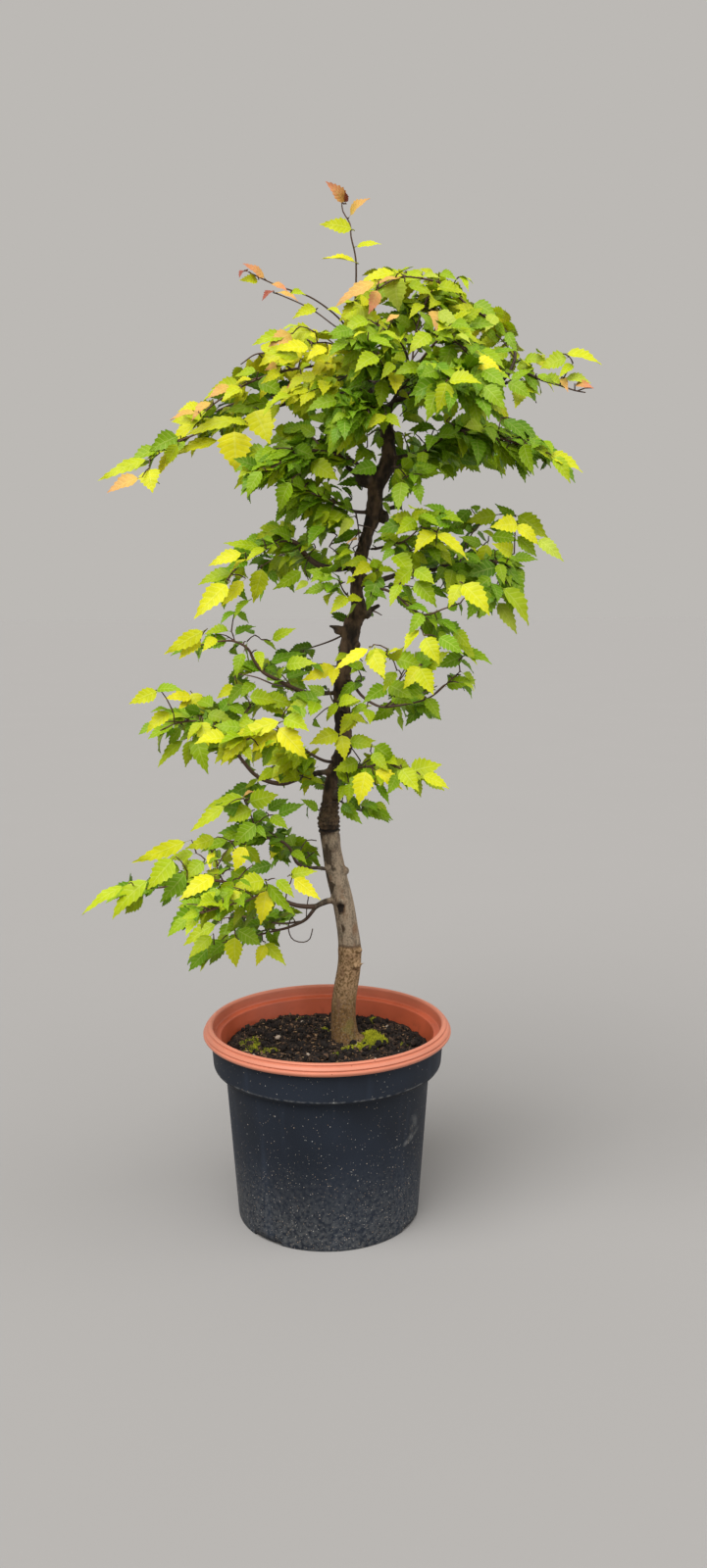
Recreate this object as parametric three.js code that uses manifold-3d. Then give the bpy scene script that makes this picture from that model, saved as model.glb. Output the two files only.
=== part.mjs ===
// A young Japanese zelkova grown as a bonsai, in a black nursery pot with a terracotta-coloured inner pot.
// Millimetres, +Z up. The origin is the centre of the pot's base, on the surface that it stands on.

import * as THREE from 'three';
import { mergeVertices } from 'three/addons/utils/BufferGeometryUtils.js';
import Module from 'manifold-3d';

const wasm = await Module();
wasm.setup();

// Driving dimensions
const gap = 0.3;
const finestEdge = 0.01;

const outerPot = {
  footRadius: 99.8,
  bodyTopRadius: 111.6,
  bodyTopHeight: 168,
  collarRadius: 124.2,
  collarHeight: 172.5,
  topRadius: 126.4,
  topHeight: 204,
  wall: 1.6,
  floor: 3,
  notchHeight: 3,
  notchDepth: 9,
  notchAngles: [-130, -25, 50, 140],
  notchWidth: 38,
  holeRadius: 7,
  holeCircle: 66,
  holes: 6,
};

const innerPot = {
  rimRadius: 135,
  rimHeight: 217,
  rimLowest: outerPot.topHeight + gap,
  mouthRadius: 124.3,
  ledgeHeight: 203.8,
  ledgeRadius: 116,
  stepHeight: 173,
  stepRadius: 110.6,
  neckRadius: 107.4,
  footRadius: 95.5,
  footHeight: 4,
  wall: 1.8,
  grooveDepth: 1.3,
  holeRadius: 6,
  holeCircle: 52,
  holes: 4,
};

const soilTop = 187;
const stumpHoleRadius = 21.5;
const sides = { pot: 24, holes: 10, stumpHole: 12, trunk: 7, bough: 5, twig: 3 };

// Each mound of the soil has its place, its height and how wide it is.
const mounds = [
  { x: -60, y: 42, height: 5, width: 50 },
  { x: 22, y: 10, height: 4, width: 52 },
];

// The front view is drawn from this eye. A point at another depth is moved along its line of sight.
const eye = new THREE.Vector3(30, -1324, 681);

// Each trunk row holds the front view's x and z, the depth y and the radius.
const trunkLine = [
  [22, 150, 15, 12],
  [22, 178, 15, 19.5],
  [21, 190, 15, 17.6],
  [19, 202, 14, 15.2],
  [17.5, 220, 13, 14.2],
  [19, 245, 12, 13.4],
  [24, 276, 12, 12.8],
  [25, 298, 11, 12.6],
  [22.5, 322, 10, 11.6],
  [18, 350, 9, 11.4],
  [11, 380, 8, 11.2],
  [6, 410, 8, 10.2],
  [3.5, 440, 7, 11.4],
  [5, 462, 7, 8.8],
  [6.5, 482, 6, 6.8],
  [13, 502, 6, 7.2],
  [21, 520, 5, 8.5],
  [18.5, 542, 4, 8.8],
  [18, 575, 3, 9.2],
  [20, 600, 2, 8.2],
  [25.5, 623, 2, 9.4],
  [28, 642, 1, 9.6],
  [35.5, 660, 1, 8],
  [34, 682, 0, 6.6],
  [38.5, 712, 0, 7],
  [46, 740, 0, 6.4],
  [52.5, 763, 0, 8],
  [54, 784, 0, 8.4],
  [62, 802, 0, 9],
  [68, 815, 1, 7.8],
  [66, 836, 1, 6.6],
  [65, 856, 1, 6.2],
  [56, 866, 1, 5.2],
  [47, 880, 0, 4.6],
  [43, 896, 0, 4],
  [39.5, 916, 0, 4.8],
  [34.5, 936, 0, 3.6],
];

// Each knot row holds x, z, y, and its half sizes along x, y and z.
const knots = [
  [35, 278, 4, 7, 8, 6],
  [22, 349, 2, 9, 8, 8],
  [19, 384, 6, 7, 7, 6],
  [3, 440, 3, 12, 12, 11],
  [15, 642, 2, 8, 6, 5],
  [44, 658, -2, 6, 7, 6],
  [43, 794, -3, 10, 9, 8],
  [66, 863, -1, 5, 6, 5],
  [39, 918, -2, 6, 6, 6],
];

// Branches that carry more than one spray, with their radii at both ends.
const boughs = [
  { line: [[64, 860, 2], [84, 876, -6], [114, 884, -14], [148, 880, -10], [176, 884, -2]], radii: [4.6, 3] },
  { line: [[52, 872, 2], [22, 878, 8], [-6, 874, 12], [-34, 870, 12]], radii: [4.2, 2.8] },
  { line: [[36, 696, 0], [58, 692, -8], [84, 700, -12], [112, 702, -10]], radii: [4.2, 2.6] },
];

// Each spray has the length of its first stem that is the trunk's own wood, and its stems. A stem has its
// points, its radius at the root, the tips of its leaves that the front view fixes and, at the back, a
// number of further leaves, set in two ranks along it. A side stem starts from a place on the first stem,
// counted in its points.
const sprays = [
  {
    name: 'spray_leader', colour: 0xa9b93a, woodLength: 24,
    stems: [
      {
        line: [[39.5, 918, 0], [34, 940, 0], [34, 962, -2], [35, 997, -4], [34, 1013, -5], [30, 1030, -5],
          [29, 1042, -4], [22, 1054, -3], [21, 1063, -2]],
        radius: 1.9,
        tips: [[3, 1000], [58, 1016], [-1, 1035], [47, 1058], [5.5, 1075], [13, 963], [60, 985], [30, 1074]],
      },
    ],
  },
  {
    name: 'spray_apex_left', colour: 0xb5a53c, woodLength: 14,
    stems: [
      {
        line: [[37, 926, 0], [27, 941, -4], [12, 957, -8], [-12, 973, -12], [-39, 982, -16], [-56, 989, -18],
          [-71, 996, -20]],
        radius: 1.7,
        tips: [[-84, 987], [-76, 1012], [-58, 1003], [-32, 1000], [-44, 968], [-8, 992], [14, 978]],
      },
      {
        from: 1,
        line: [[16, 943, 8], [-10, 961, 14], [-39, 974, 18], [-48, 977, 20]],
        radius: 1.4,
        tips: [[-60, 968], [-29, 949], [-12, 940], [8, 932]],
      },
    ],
  },
  {
    name: 'spray_arch', colour: 0xa4b440, woodLength: 14,
    stems: [
      {
        line: [[176, 884, -2], [190, 900, 4], [195, 917, 8], [188, 933, 12], [178, 946, 14], [149, 962, 12],
          [125, 983, 8], [94, 991, 2], [75, 990, -4], [55, 979, -8], [51, 973, -10]],
        radius: 2,
        tips: [[46, 945], [66, 998], [20, 962], [74, 950], [92, 1006], [112, 1002], [140, 988], [166, 972],
          [186, 955], [203, 925], [98, 962], [124, 958], [208, 906], [160, 938]],
      },
    ],
  },
  {
    name: 'spray_far_right', colour: 0xb8a040, woodLength: 8,
    stems: [
      {
        line: [[176, 884, -2], [197, 893, -6], [206, 898, -8], [223, 891, -10], [241, 886, -12],
          [256, 881, -14], [267, 879, -16]],
        radius: 1.6,
        tips: [[277, 868], [217, 916], [238, 917], [262, 911], [277, 900], [229, 862], [247, 856], [214, 868],
          [200, 864]],
      },
    ],
  },
  {
    name: 'spray_crown_right', colour: 0x8fa63a, woodLength: 16,
    stems: [
      {
        line: [[66, 864, 0], [76, 878, -6], [90, 896, -14], [104, 916, -22], [120, 932, -28], [136, 928, -32],
          [150, 914, -36]],
        radius: 2.2,
        tips: [[88, 940], [62, 908], [108, 946], [132, 950], [154, 936], [166, 902], [146, 886], [122, 892],
          [100, 878], [70, 930]],
      },
      {
        from: 2,
        line: [[92, 918, -4], [96, 944, 6], [104, 962, 8], [114, 957, 6], [123, 949, 4]],
        radius: 1.4,
        tips: [[128, 922], [141, 938], [90, 972], [68, 968]],
      },
      {
        from: 2.4,
        line: [[120, 900, -44], [140, 890, -66]],
        radius: 1.3,
        tips: [[150, 868], [120, 866]],
      },
    ],
  },
  {
    name: 'spray_crown_back', colour: 0x6f9433, woodLength: 16, depthScale: 1,
    stems: [
      {
        line: [[50, 874, 1], [56, 888, 30], [66, 896, 64], [84, 898, 96], [100, 890, 126]],
        radius: 2.2,
        tips: [[106, 862], [120, 900], [84, 926]],
        extra: 4,
      },
      {
        from: 1,
        line: [[30, 898, 66], [8, 896, 94], [-14, 886, 116]],
        radius: 1.5,
        tips: [[-30, 860], [-36, 902], [14, 922]],
        extra: 4,
      },
    ],
  },
  {
    name: 'spray_crown_left', colour: 0x9fb23b, woodLength: 12,
    stems: [
      {
        line: [[43, 896, 0], [22, 904, -6], [-8, 906, -10], [-52, 898, -14], [-88, 883, -18],
          [-117, 864, -20], [-132, 845, -20]],
        radius: 2,
        tips: [[-152, 860], [-128, 884], [-100, 856], [-104, 900], [-74, 868], [-64, 914],
          [-34, 938], [-12, 872], [8, 940], [-38, 880]],
      },
      {
        from: 2.5,
        line: [[-50, 916, 10], [-66, 918, 26], [-82, 908, 38]],
        radius: 1.4,
        tips: [[-70, 944], [-44, 944], [-96, 926], [-104, 884]],
      },
    ],
  },
  {
    name: 'spray_left_upper', colour: 0xa8b53f, woodLength: 6,
    stems: [
      {
        line: [[-34, 870, 12], [-48, 866, 8], [-59, 860, 2], [-71, 849, -4], [-98, 852, -10],
          [-131, 839, -16], [-157, 828, -20], [-177, 813, -22]],
        radius: 1.9,
        tips: [[-60, 822], [-44, 836], [-100, 799], [-82, 806], [-151, 864], [-176, 850], [-178, 782],
          [-227, 795], [-218, 781], [-124, 806], [-105, 878], [-198, 832], [-142, 798], [-26, 846]],
      },
    ],
  },
  {
    name: 'spray_left_upper_back', colour: 0x74983a, woodLength: 6, depthScale: 1,
    stems: [
      {
        line: [[-34, 870, 12], [-50, 876, 36], [-76, 874, 62], [-104, 864, 84], [-128, 850, 100]],
        radius: 1.6,
        tips: [[-150, 832], [-112, 832], [-90, 894], [-140, 872]],
        extra: 4,
      },
    ],
  },
  {
    name: 'spray_left_knob', colour: 0x7d9f38, woodLength: 22,
    stems: [
      {
        line: [[50, 792, -2], [39, 806, -8], [24, 816, -16], [0, 822, -26], [-20, 822, -36], [-42, 812, -44],
          [-58, 802, -50]],
        radius: 2,
        tips: [[-38, 750], [-64, 776], [-92, 784], [-78, 770], [-22, 850], [-58, 836], [6, 790], [-20, 786],
          [30, 842]],
      },
      {
        from: 3,
        line: [[-8, 834, -16], [-20, 842, -8], [-36, 838, 4]],
        radius: 1.3,
        tips: [[-40, 864], [-58, 822]],
      },
    ],
  },
  {
    name: 'spray_right_upper', colour: 0x8faa3a, woodLength: 20,
    stems: [
      {
        line: [[66, 814, 0], [84, 817, -6], [105, 822, -14], [120, 834, -20], [142, 842, -26],
          [168, 838, -32], [196, 830, -36], [222, 824, -38]],
        radius: 2.3,
        tips: [[249, 788], [260, 800], [209, 797], [184, 793], [156, 801], [131, 795], [236, 838], [212, 856],
          [178, 866], [148, 872], [120, 866], [96, 846], [101, 797]],
      },
      {
        from: 1.7,
        line: [[100, 812, 18], [122, 816, 40], [146, 822, 62], [172, 818, 78]],
        radius: 1.6,
        tips: [[200, 806], [166, 786], [140, 790]],
      },
      {
        from: 1.4,
        line: [[82, 804, -20], [86, 796, -34]],
        radius: 1.1,
        tips: [[76, 762], [98, 768]],
      },
    ],
  },
  {
    name: 'spray_left_760', colour: 0x86a339, woodLength: 14,
    stems: [
      {
        line: [[52, 763, 0], [41, 761, -4], [28, 763, -10], [14, 770, -16], [0, 776, -22], [-16, 782, -28],
          [-31, 785, -32]],
        radius: 1.7,
        tips: [[-48, 774], [-24, 750], [2, 744], [24, 740], [-6, 806], [22, 796]],
      },
      {
        from: 1.6,
        line: [[36, 746, -14], [37, 728, -18]],
        radius: 1.1,
        tips: [[30, 700], [52, 712]],
      },
    ],
  },
  {
    name: 'spray_left_705', colour: 0x93ab3a, woodLength: 16,
    stems: [
      {
        line: [[36, 705, 0], [26, 706, -4], [12, 704, -8], [-4, 707, -12], [-18, 717, -16], [-28, 730, -20],
          [-44, 733, -22], [-62, 723, -24], [-80, 713, -26], [-94, 701, -28], [-102, 690, -28]],
        radius: 2,
        tips: [[-103, 729], [-120, 706], [-133, 652], [-128, 688], [-69, 746], [-70, 669], [-48, 688],
          [-34, 756], [-14, 744], [-8, 684], [-92, 664], [-50, 712], [-108, 643]],
      },
      {
        from: 4.2,
        line: [[-30, 722, 14], [-48, 716, 38], [-68, 704, 56]],
        radius: 1.4,
        tips: [[-92, 690], [-70, 676]],
      },
    ],
  },
  {
    name: 'spray_right_700', colour: 0x8ea83a, woodLength: 6,
    stems: [
      {
        line: [[112, 702, -10], [126, 706, -14], [142, 708, -20], [160, 711, -26], [178, 710, -30],
          [194, 704, -32]],
        radius: 2,
        tips: [[230, 726], [242, 714], [216, 708], [209, 643], [196, 633], [202, 680], [167, 653], [220, 738],
          [161, 684], [149, 676], [180, 748], [146, 738], [128, 670]],
      },
      {
        from: 1.9,
        line: [[146, 724, -12], [154, 740, -4], [166, 752, 2]],
        radius: 1.3,
        tips: [[178, 772], [196, 758], [134, 752]],
      },
      {
        from: 4,
        line: [[182, 696, -36], [178, 682, -40]],
        radius: 1.1,
        tips: [[176, 648], [158, 662]],
      },
    ],
  },
  {
    name: 'spray_right_700_back', colour: 0x6f9434, woodLength: 6, depthScale: 1,
    stems: [
      {
        line: [[112, 702, -10], [122, 706, 14], [132, 712, 42], [146, 716, 68], [160, 712, 90]],
        radius: 1.7,
        tips: [[188, 700], [150, 684], [170, 740]],
        extra: 4,
      },
    ],
  },
  {
    name: 'spray_right_735', colour: 0x97ad3b, woodLength: 16,
    stems: [
      {
        line: [[42, 724, 0], [54, 724, -6], [66, 727, -14], [80, 730, -24], [92, 738, -32], [104, 750, -38]],
        radius: 1.8,
        tips: [[94, 708], [78, 776], [60, 762], [118, 778], [130, 752], [124, 730], [70, 700], [96, 786]],
      },
    ],
  },
  {
    name: 'spray_right_660', colour: 0x7f9f38, woodLength: 18,
    stems: [
      {
        line: [[36, 688, 0], [50, 684, -12], [64, 682, -26], [78, 674, -38], [92, 662, -46], [106, 656, -52],
          [124, 662, -56], [142, 668, -58]],
        radius: 1.8,
        tips: [[70, 650], [46, 656], [112, 634], [86, 619], [130, 640], [104, 690], [154, 646], [166, 676],
          [128, 694], [60, 712], [96, 640]],
      },
    ],
  },
  {
    name: 'spray_trunk_680', colour: 0xa6b83e, woodLength: 12,
    stems: [
      {
        line: [[33, 672, 0], [26, 675, -14], [20, 682, -28], [16, 692, -40]],
        radius: 1.4,
        tips: [[8, 655], [35, 664], [2, 712], [30, 722], [-8, 682], [40, 694]],
      },
    ],
  },
  {
    name: 'spray_mid_back', colour: 0x678c31, woodLength: 18, depthScale: 1,
    stems: [
      {
        line: [[26, 632, 2], [28, 640, 30], [36, 652, 64], [50, 660, 98], [60, 656, 128]],
        radius: 2.2,
        tips: [[78, 636], [84, 676], [40, 690]],
        extra: 4,
      },
      {
        from: 1,
        line: [[8, 650, 60], [-16, 650, 84], [-38, 640, 104]],
        radius: 1.5,
        tips: [[-62, 628], [-30, 672]],
        extra: 4,
      },
    ],
  },
  {
    name: 'spray_left_575', colour: 0x93ad3a, woodLength: 22,
    stems: [
      {
        line: [[16, 577, 3], [4, 575, -2], [-20, 576, -10], [-36, 582, -16], [-51, 590, -20], [-64, 597, -22],
          [-74, 610, -24], [-80, 622, -26], [-96, 630, -28], [-120, 628, -32], [-139, 623, -34]],
        radius: 2.2,
        tips: [[-174, 614], [-156, 606], [-88, 588], [-104, 596], [-44, 642], [-22, 626], [-64, 640],
          [-36, 550], [-10, 602], [-118, 652], [-134, 600], [-76, 574], [-98, 656], [-150, 640]],
      },
      {
        from: 3,
        line: [[-52, 584, 12], [-72, 592, 38], [-92, 596, 58]],
        radius: 1.5,
        tips: [[-124, 590], [-100, 570]],
      },
    ],
  },
  {
    name: 'spray_right_590', colour: 0x93ab39, woodLength: 14,
    stems: [
      {
        line: [[20, 592, 2], [28, 587, -4], [38, 573, -12], [50, 564, -18], [62, 560, -22], [80, 562, -26],
          [100, 566, -30], [114, 572, -32], [129, 585, -34], [142, 597, -36]],
        radius: 2,
        tips: [[84, 532], [119, 540], [66, 534], [156, 565], [160, 579], [172, 606], [46, 536], [92, 602],
          [108, 606], [130, 628], [152, 632], [60, 600], [124, 556], [104, 528]],
      },
      {
        from: 4.1,
        line: [[73, 570, -34], [76, 584, -42], [84, 600, -46]],
        radius: 1.3,
        tips: [[62, 626], [84, 634], [112, 628], [50, 588], [108, 600]],
      },
      {
        from: 4,
        line: [[78, 564, 8], [98, 572, 34], [118, 582, 54]],
        radius: 1.4,
        tips: [[146, 594], [122, 556]],
      },
    ],
  },
  {
    name: 'spray_trunk_560', colour: 0xa3b63d, woodLength: 10,
    stems: [
      {
        line: [[18, 556, 3], [14, 560, -12], [8, 568, -24], [4, 580, -34]],
        radius: 1.3,
        tips: [[-28, 584], [-8, 606], [36, 606], [2, 543], [38, 566], [22, 532]],
      },
    ],
  },
  {
    name: 'spray_far_left', colour: 0x86a339, woodLength: 40,
    stems: [
      {
        line: [[6, 492, 6], [-13, 489, 0], [-30, 484, -4], [-45, 479, -8], [-62, 482, -10], [-76, 490, -10],
          [-92, 510, -10], [-104, 527, -12], [-116, 540, -16], [-134, 546, -22], [-156, 544, -28],
          [-174, 536, -32]],
        radius: 2.8,
        tips: [[-205, 563], [-196, 530], [-184, 500], [-147, 500], [-128, 496], [-168, 572], [-140, 580],
          [-112, 584], [-156, 512], [-116, 512], [-88, 552], [-188, 576]],
      },
      {
        from: 7,
        line: [[-118, 544, 12], [-134, 552, 36], [-150, 552, 56]],
        radius: 1.5,
        tips: [[-184, 548], [-160, 524]],
      },
      {
        from: 6,
        line: [[-92, 534, -16], [-86, 552, -20], [-78, 562, -22]],
        radius: 1.3,
        tips: [[-52, 574], [-76, 590], [-104, 576]],
      },
    ],
  },
  {
    name: 'spray_left_front', colour: 0xbcc545, woodLength: 12,
    stems: [
      {
        line: [[10, 502, 6], [0, 503, -8], [-14, 510, -24], [-30, 522, -42], [-48, 534, -58], [-66, 534, -70],
          [-82, 526, -78]],
        radius: 1.9,
        tips: [[-107, 498], [-18, 498], [-62, 504], [-74, 514], [-40, 494], [-98, 544], [-66, 566],
          [-36, 560], [-6, 536], [-30, 500], [-88, 500]],
      },
    ],
  },
  {
    name: 'spray_low_back', colour: 0x678c31, woodLength: 18, depthScale: 1,
    stems: [
      {
        line: [[8, 470, 7], [4, 474, 34], [-8, 482, 66], [-26, 490, 96], [-44, 494, 124]],
        radius: 2.2,
        tips: [[-70, 484], [-60, 518], [-24, 520]],
        extra: 4,
      },
      {
        from: 1.1,
        line: [[24, 486, 64], [48, 496, 84], [70, 502, 100]],
        radius: 1.5,
        tips: [[96, 500], [64, 470]],
        extra: 4,
      },
    ],
  },
  {
    name: 'spray_right_500', colour: 0xa6b83d, woodLength: 10,
    stems: [
      {
        line: [[10, 498, 6], [22, 497, -2], [36, 496, -10], [48, 497, -18], [62, 501, -24], [76, 496, -30],
          [90, 490, -34]],
        radius: 1.9,
        tips: [[27, 530], [48, 530], [74, 522], [16, 470], [41, 456], [90, 456], [94, 464], [122, 498],
          [138, 462], [66, 466], [104, 510], [30, 514], [116, 478]],
      },
    ],
  },
  {
    name: 'spray_right_460', colour: 0x95ab3b, woodLength: 10,
    stems: [
      {
        line: [[6, 458, 7], [15, 460, 0], [26, 453, -6], [38, 449, -10]],
        radius: 1.3,
        tips: [[45, 426], [70, 438], [54, 462]],
      },
    ],
  },
  {
    name: 'spray_low_left_upper', colour: 0x8ca739, woodLength: 40,
    stems: [
      {
        line: [[10, 384, 8], [-6, 387, 2], [-22, 388, -4], [-32, 394, -8], [-38, 408, -10], [-48, 417, -12],
          [-62, 420, -14], [-74, 430, -16], [-80, 446, -18], [-86, 460, -18]],
        radius: 2.4,
        tips: [[-146, 426], [-120, 442], [-84, 480], [-50, 468], [-30, 444], [-60, 450], [-104, 470],
          [-54, 396], [-98, 418], [-70, 402], [-24, 428]],
      },
      {
        from: 3.2,
        line: [[-40, 406, 16], [-52, 418, 40], [-66, 430, 58]],
        radius: 1.5,
        tips: [[-92, 440], [-62, 456]],
      },
    ],
  },
  {
    name: 'spray_low_left', colour: 0x84a338, woodLength: 34,
    stems: [
      {
        line: [[16, 352, 9], [0, 349, 2], [-13, 346, -4], [-28, 348, -10], [-46, 356, -16], [-68, 361, -20],
          [-90, 364, -24], [-108, 372, -28], [-130, 374, -32], [-156, 370, -36], [-182, 366, -40],
          [-206, 366, -42]],
        radius: 2.6,
        tips: [[-262, 336], [-228, 332], [-205, 396], [-178, 340], [-240, 362], [-157, 346], [-132, 404],
          [-104, 340], [-73, 324], [-128, 338], [-60, 392], [-96, 398], [-168, 402], [-230, 388], [-34, 330],
          [-86, 336], [-204, 340]],
      },
      {
        from: 7.1,
        line: [[-116, 384, -20], [-118, 396, -14], [-124, 408, -8]],
        radius: 1.2,
        tips: [[-120, 432], [-146, 418], [-96, 420]],
      },
      {
        from: 5,
        line: [[-84, 352, -44], [-108, 346, -62], [-134, 338, -76]],
        radius: 1.5,
        tips: [[-169, 318], [-150, 306], [-112, 314], [-166, 346]],
      },
    ],
  },
  {
    name: 'spray_low_left_hanging', colour: 0x8faa3b, woodLength: 26,
    stems: [
      {
        line: [[12, 344, 10], [0, 340, 10], [-11, 334, 10], [-22, 329, 8], [-38, 323, 6], [-56, 318, 2],
          [-79, 312, -4], [-100, 308, -10], [-122, 302, -14]],
        radius: 1.9,
        tips: [[-157, 296], [-147, 279], [-137, 270], [-97, 274], [-74, 278], [-43, 280], [-49, 298],
          [-122, 330], [-112, 276], [-64, 340], [-28, 290], [-152, 314]],
      },
      {
        from: 4,
        line: [[-52, 326, 30], [-72, 332, 52], [-96, 334, 70], [-122, 330, 84]],
        radius: 1.6,
        tips: [[-150, 322], [-116, 302], [-92, 358]],
      },
    ],
  },
];

// Leaves
const leaf = {
  ribThickness: 1.8,
  thickestAt: 0.42,
  freeFrom: 0.12,
  widthRatio: 0.52,
  usual: 40,
  shortest: 30,
  lengthSpread: 16,
  longest: 58,
  spacing: 5,
  crowding: 23,
  depthSpread: 32,
  toothed: 50,
  fold: 0.14,
  arch: 0.07,
};
const clearance = 0.4;
const thinnestTwig = 0.8;
const usualDepthScale = 1.9;
const leafless = { main: 0.1, side: 0.4 };
const goldenShare = 0.618;

// What counts against a place as a leaf's root: each millimetre that the leaf would be too short or too
// long, a leaf that leans along its stem past the steepest lean, and a root too near another one.
const misses = { short: 1.5, long: 1, lean: 60, near: 4 };
const steepestLean = 0.75;

// Each outline row holds a place along the rib and a half width, both as shares, from the base to the tip.
const largeOutline = [[0.2, 0.86], [0.27, 0.78], [0.46, 1], [0.53, 0.78], [0.73, 0.56]];
const smallOutline = [[0.24, 0.92], [0.36, 0.78], [0.62, 0.7]];

// A repeatable draw between 0 and 1
const drawing = { seed: 20260, seedStep: 7919, factor: 1664525, shift: 1013904223, range: 2 ** 32 };
let drawState = drawing.seed;
function draw() {
  drawState = (Math.imul(drawState, drawing.factor) + drawing.shift) >>> 0;
  return drawState / drawing.range;
}

function seen([x, z, y]) {
  const reach = 1 - y / eye.y;
  return new THREE.Vector3(eye.x + (x - eye.x) * reach, y, eye.z + (z - eye.z) * reach);
}

// A closed solid from a geometry, where each edge has one face on either side
function toSolid(geometry) {
  const bare = geometry.clone();
  bare.deleteAttribute('normal');
  bare.deleteAttribute('uv');
  const merged = mergeVertices(bare, 1e-4);
  const corners = merged.index.array;
  const triangles = [];
  const edges = new Set();
  for (let i = 0; i < corners.length; i += 3) {
    const [a, b, c] = corners.slice(i, i + 3);
    if (a !== b && b !== c && c !== a) {
      triangles.push(a, b, c);
      edges.add(`${a},${b}`).add(`${b},${c}`).add(`${c},${a}`);
    }
  }
  if (edges.size !== triangles.length) {
    throw new Error('an edge has more than two faces');
  }
  return new wasm.Manifold(new wasm.Mesh({
    numProp: 3,
    vertProperties: new Float32Array(merged.attributes.position.array),
    triVerts: new Uint32Array(triangles),
  }));
}

function toGeometry(solid) {
  const mesh = solid.getMesh();
  const geometry = new THREE.BufferGeometry();
  geometry.setAttribute('position', new THREE.BufferAttribute(new Float32Array(mesh.vertProperties), 3));
  geometry.setIndex(new THREE.BufferAttribute(new Uint32Array(mesh.triVerts), 1));
  return geometry;
}

// The solid with its vertices on a fine grid, or nothing where a sliver or a loose scrap would be left
function settled(solid) {
  const geometry = toGeometry(solid);
  const { array } = geometry.attributes.position;
  array.forEach((value, i) => {
    array[i] = Math.round(value / finestEdge) * finestEdge;
  });
  try {
    const whole = toSolid(geometry);
    return whole.decompose().length === 1 ? whole : null;
  } catch {
    return null;
  }
}

function finish(colour, roughness) {
  return new THREE.MeshStandardMaterial({ color: colour, roughness, metalness: 0, flatShading: true });
}

function piece(name, solid, material) {
  const geometry = toGeometry(solid);
  geometry.computeVertexNormals();
  const mesh = new THREE.Mesh(geometry, material);
  mesh.name = name;
  return mesh;
}

// A closed profile of radius and height rows, turned round the Z axis
function turned(profile) {
  const points = profile.map(([radius, height]) => new THREE.Vector2(radius, height));
  const geometry = new THREE.LatheGeometry(points, sides.pot);
  geometry.rotateX(Math.PI / 2);
  return toSolid(geometry);
}

function upright(radius, bottom, top, x, y, count) {
  const geometry = new THREE.CylinderGeometry(radius, radius, top - bottom, count);
  geometry.rotateX(Math.PI / 2);
  geometry.translate(x, y, (top + bottom) / 2);
  return toSolid(geometry);
}

// A place on a line of points, where t counts the spans walked
function along(points, t) {
  const span = Math.min(points.length - 2, Math.floor(t));
  return points[span].clone().lerp(points[span + 1], t - span);
}

// A round limb through the points, with a radius for each point. Part of it can be taken, where from
// and to count the spans walked.
function limb(points, radii, count, from = 0, to = points.length - 1) {
  const stations = [from];
  for (let t = Math.floor(from) + 1; t < to; t += 1) {
    stations.push(t);
  }
  stations.push(to);
  let across = new THREE.Vector3(0, 1, 0);
  const frames = stations.map((t) => {
    const before = along(points, Math.max(0, t - 0.5));
    const way = along(points, Math.min(points.length - 1, t + 0.5)).sub(before).normalize();
    across = across.clone().addScaledVector(way, -across.dot(way));
    if (across.length() < 0.1) {
      across = new THREE.Vector3(1, 0, 0).addScaledVector(way, -way.x);
    }
    across.normalize();
    const span = Math.min(points.length - 2, Math.floor(t));
    const radius = THREE.MathUtils.lerp(radii[span], radii[span + 1], t - span);
    return { centre: along(points, t), across, third: way.clone().cross(across), radius };
  });
  const rings = stations.length - 1;
  const geometry = new THREE.CylinderGeometry(1, 1, 1, count, rings);
  const position = geometry.attributes.position;
  for (let i = 0; i < position.count; i += 1) {
    const frame = frames[Math.round((position.getY(i) + 0.5) * rings)];
    const place = frame.centre.clone()
      .addScaledVector(frame.across, position.getZ(i) * frame.radius)
      .addScaledVector(frame.third, position.getX(i) * frame.radius);
    position.setXYZ(i, place.x, place.y, place.z);
  }
  return toSolid(geometry);
}

// A serrated blade, folded a little along its rib and arched along its length. It is thick at the
// middle of the rib and thins out to its edge, and both faces are split into the same triangles.
function blade(base, tip, face, width, thickness) {
  const rib = tip.clone().sub(base);
  const length = rib.length();
  const forward = rib.clone().divideScalar(length);
  const up = face.clone().addScaledVector(forward, -face.dot(forward)).normalize();
  const side = forward.clone().cross(up);
  const rows = length > leaf.toothed ? largeOutline : smallOutline;
  const place = (share, half, raise) => {
    const lift = Math.abs(half) * leaf.fold * width + raise;
    return base.clone()
      .addScaledVector(rib, share)
      .addScaledVector(side, half * width / 2)
      .addScaledVector(up, lift);
  };
  const outline = [[0, 0], ...rows, [1, 0], ...rows.toReversed().map(([share, half]) => [share, -half])];
  const count = outline.length;
  const points = outline.map(([share, half]) => place(share, half, 0));
  points.push(place(leaf.thickestAt, 0, leaf.arch * length + thickness / 2));
  points.push(place(leaf.thickestAt, 0, leaf.arch * length - thickness / 2));
  const positions = [];
  for (let i = 0; i < count; i += 1) {
    const next = (i + 1) % count;
    positions.push(...points[i].toArray(), ...points[next].toArray(), ...points[count].toArray());
    positions.push(...points[next].toArray(), ...points[i].toArray(), ...points[count + 1].toArray());
  }
  const geometry = new THREE.BufferGeometry();
  geometry.setAttribute('position', new THREE.Float32BufferAttribute(positions, 3));
  return toSolid(geometry);
}

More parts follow.
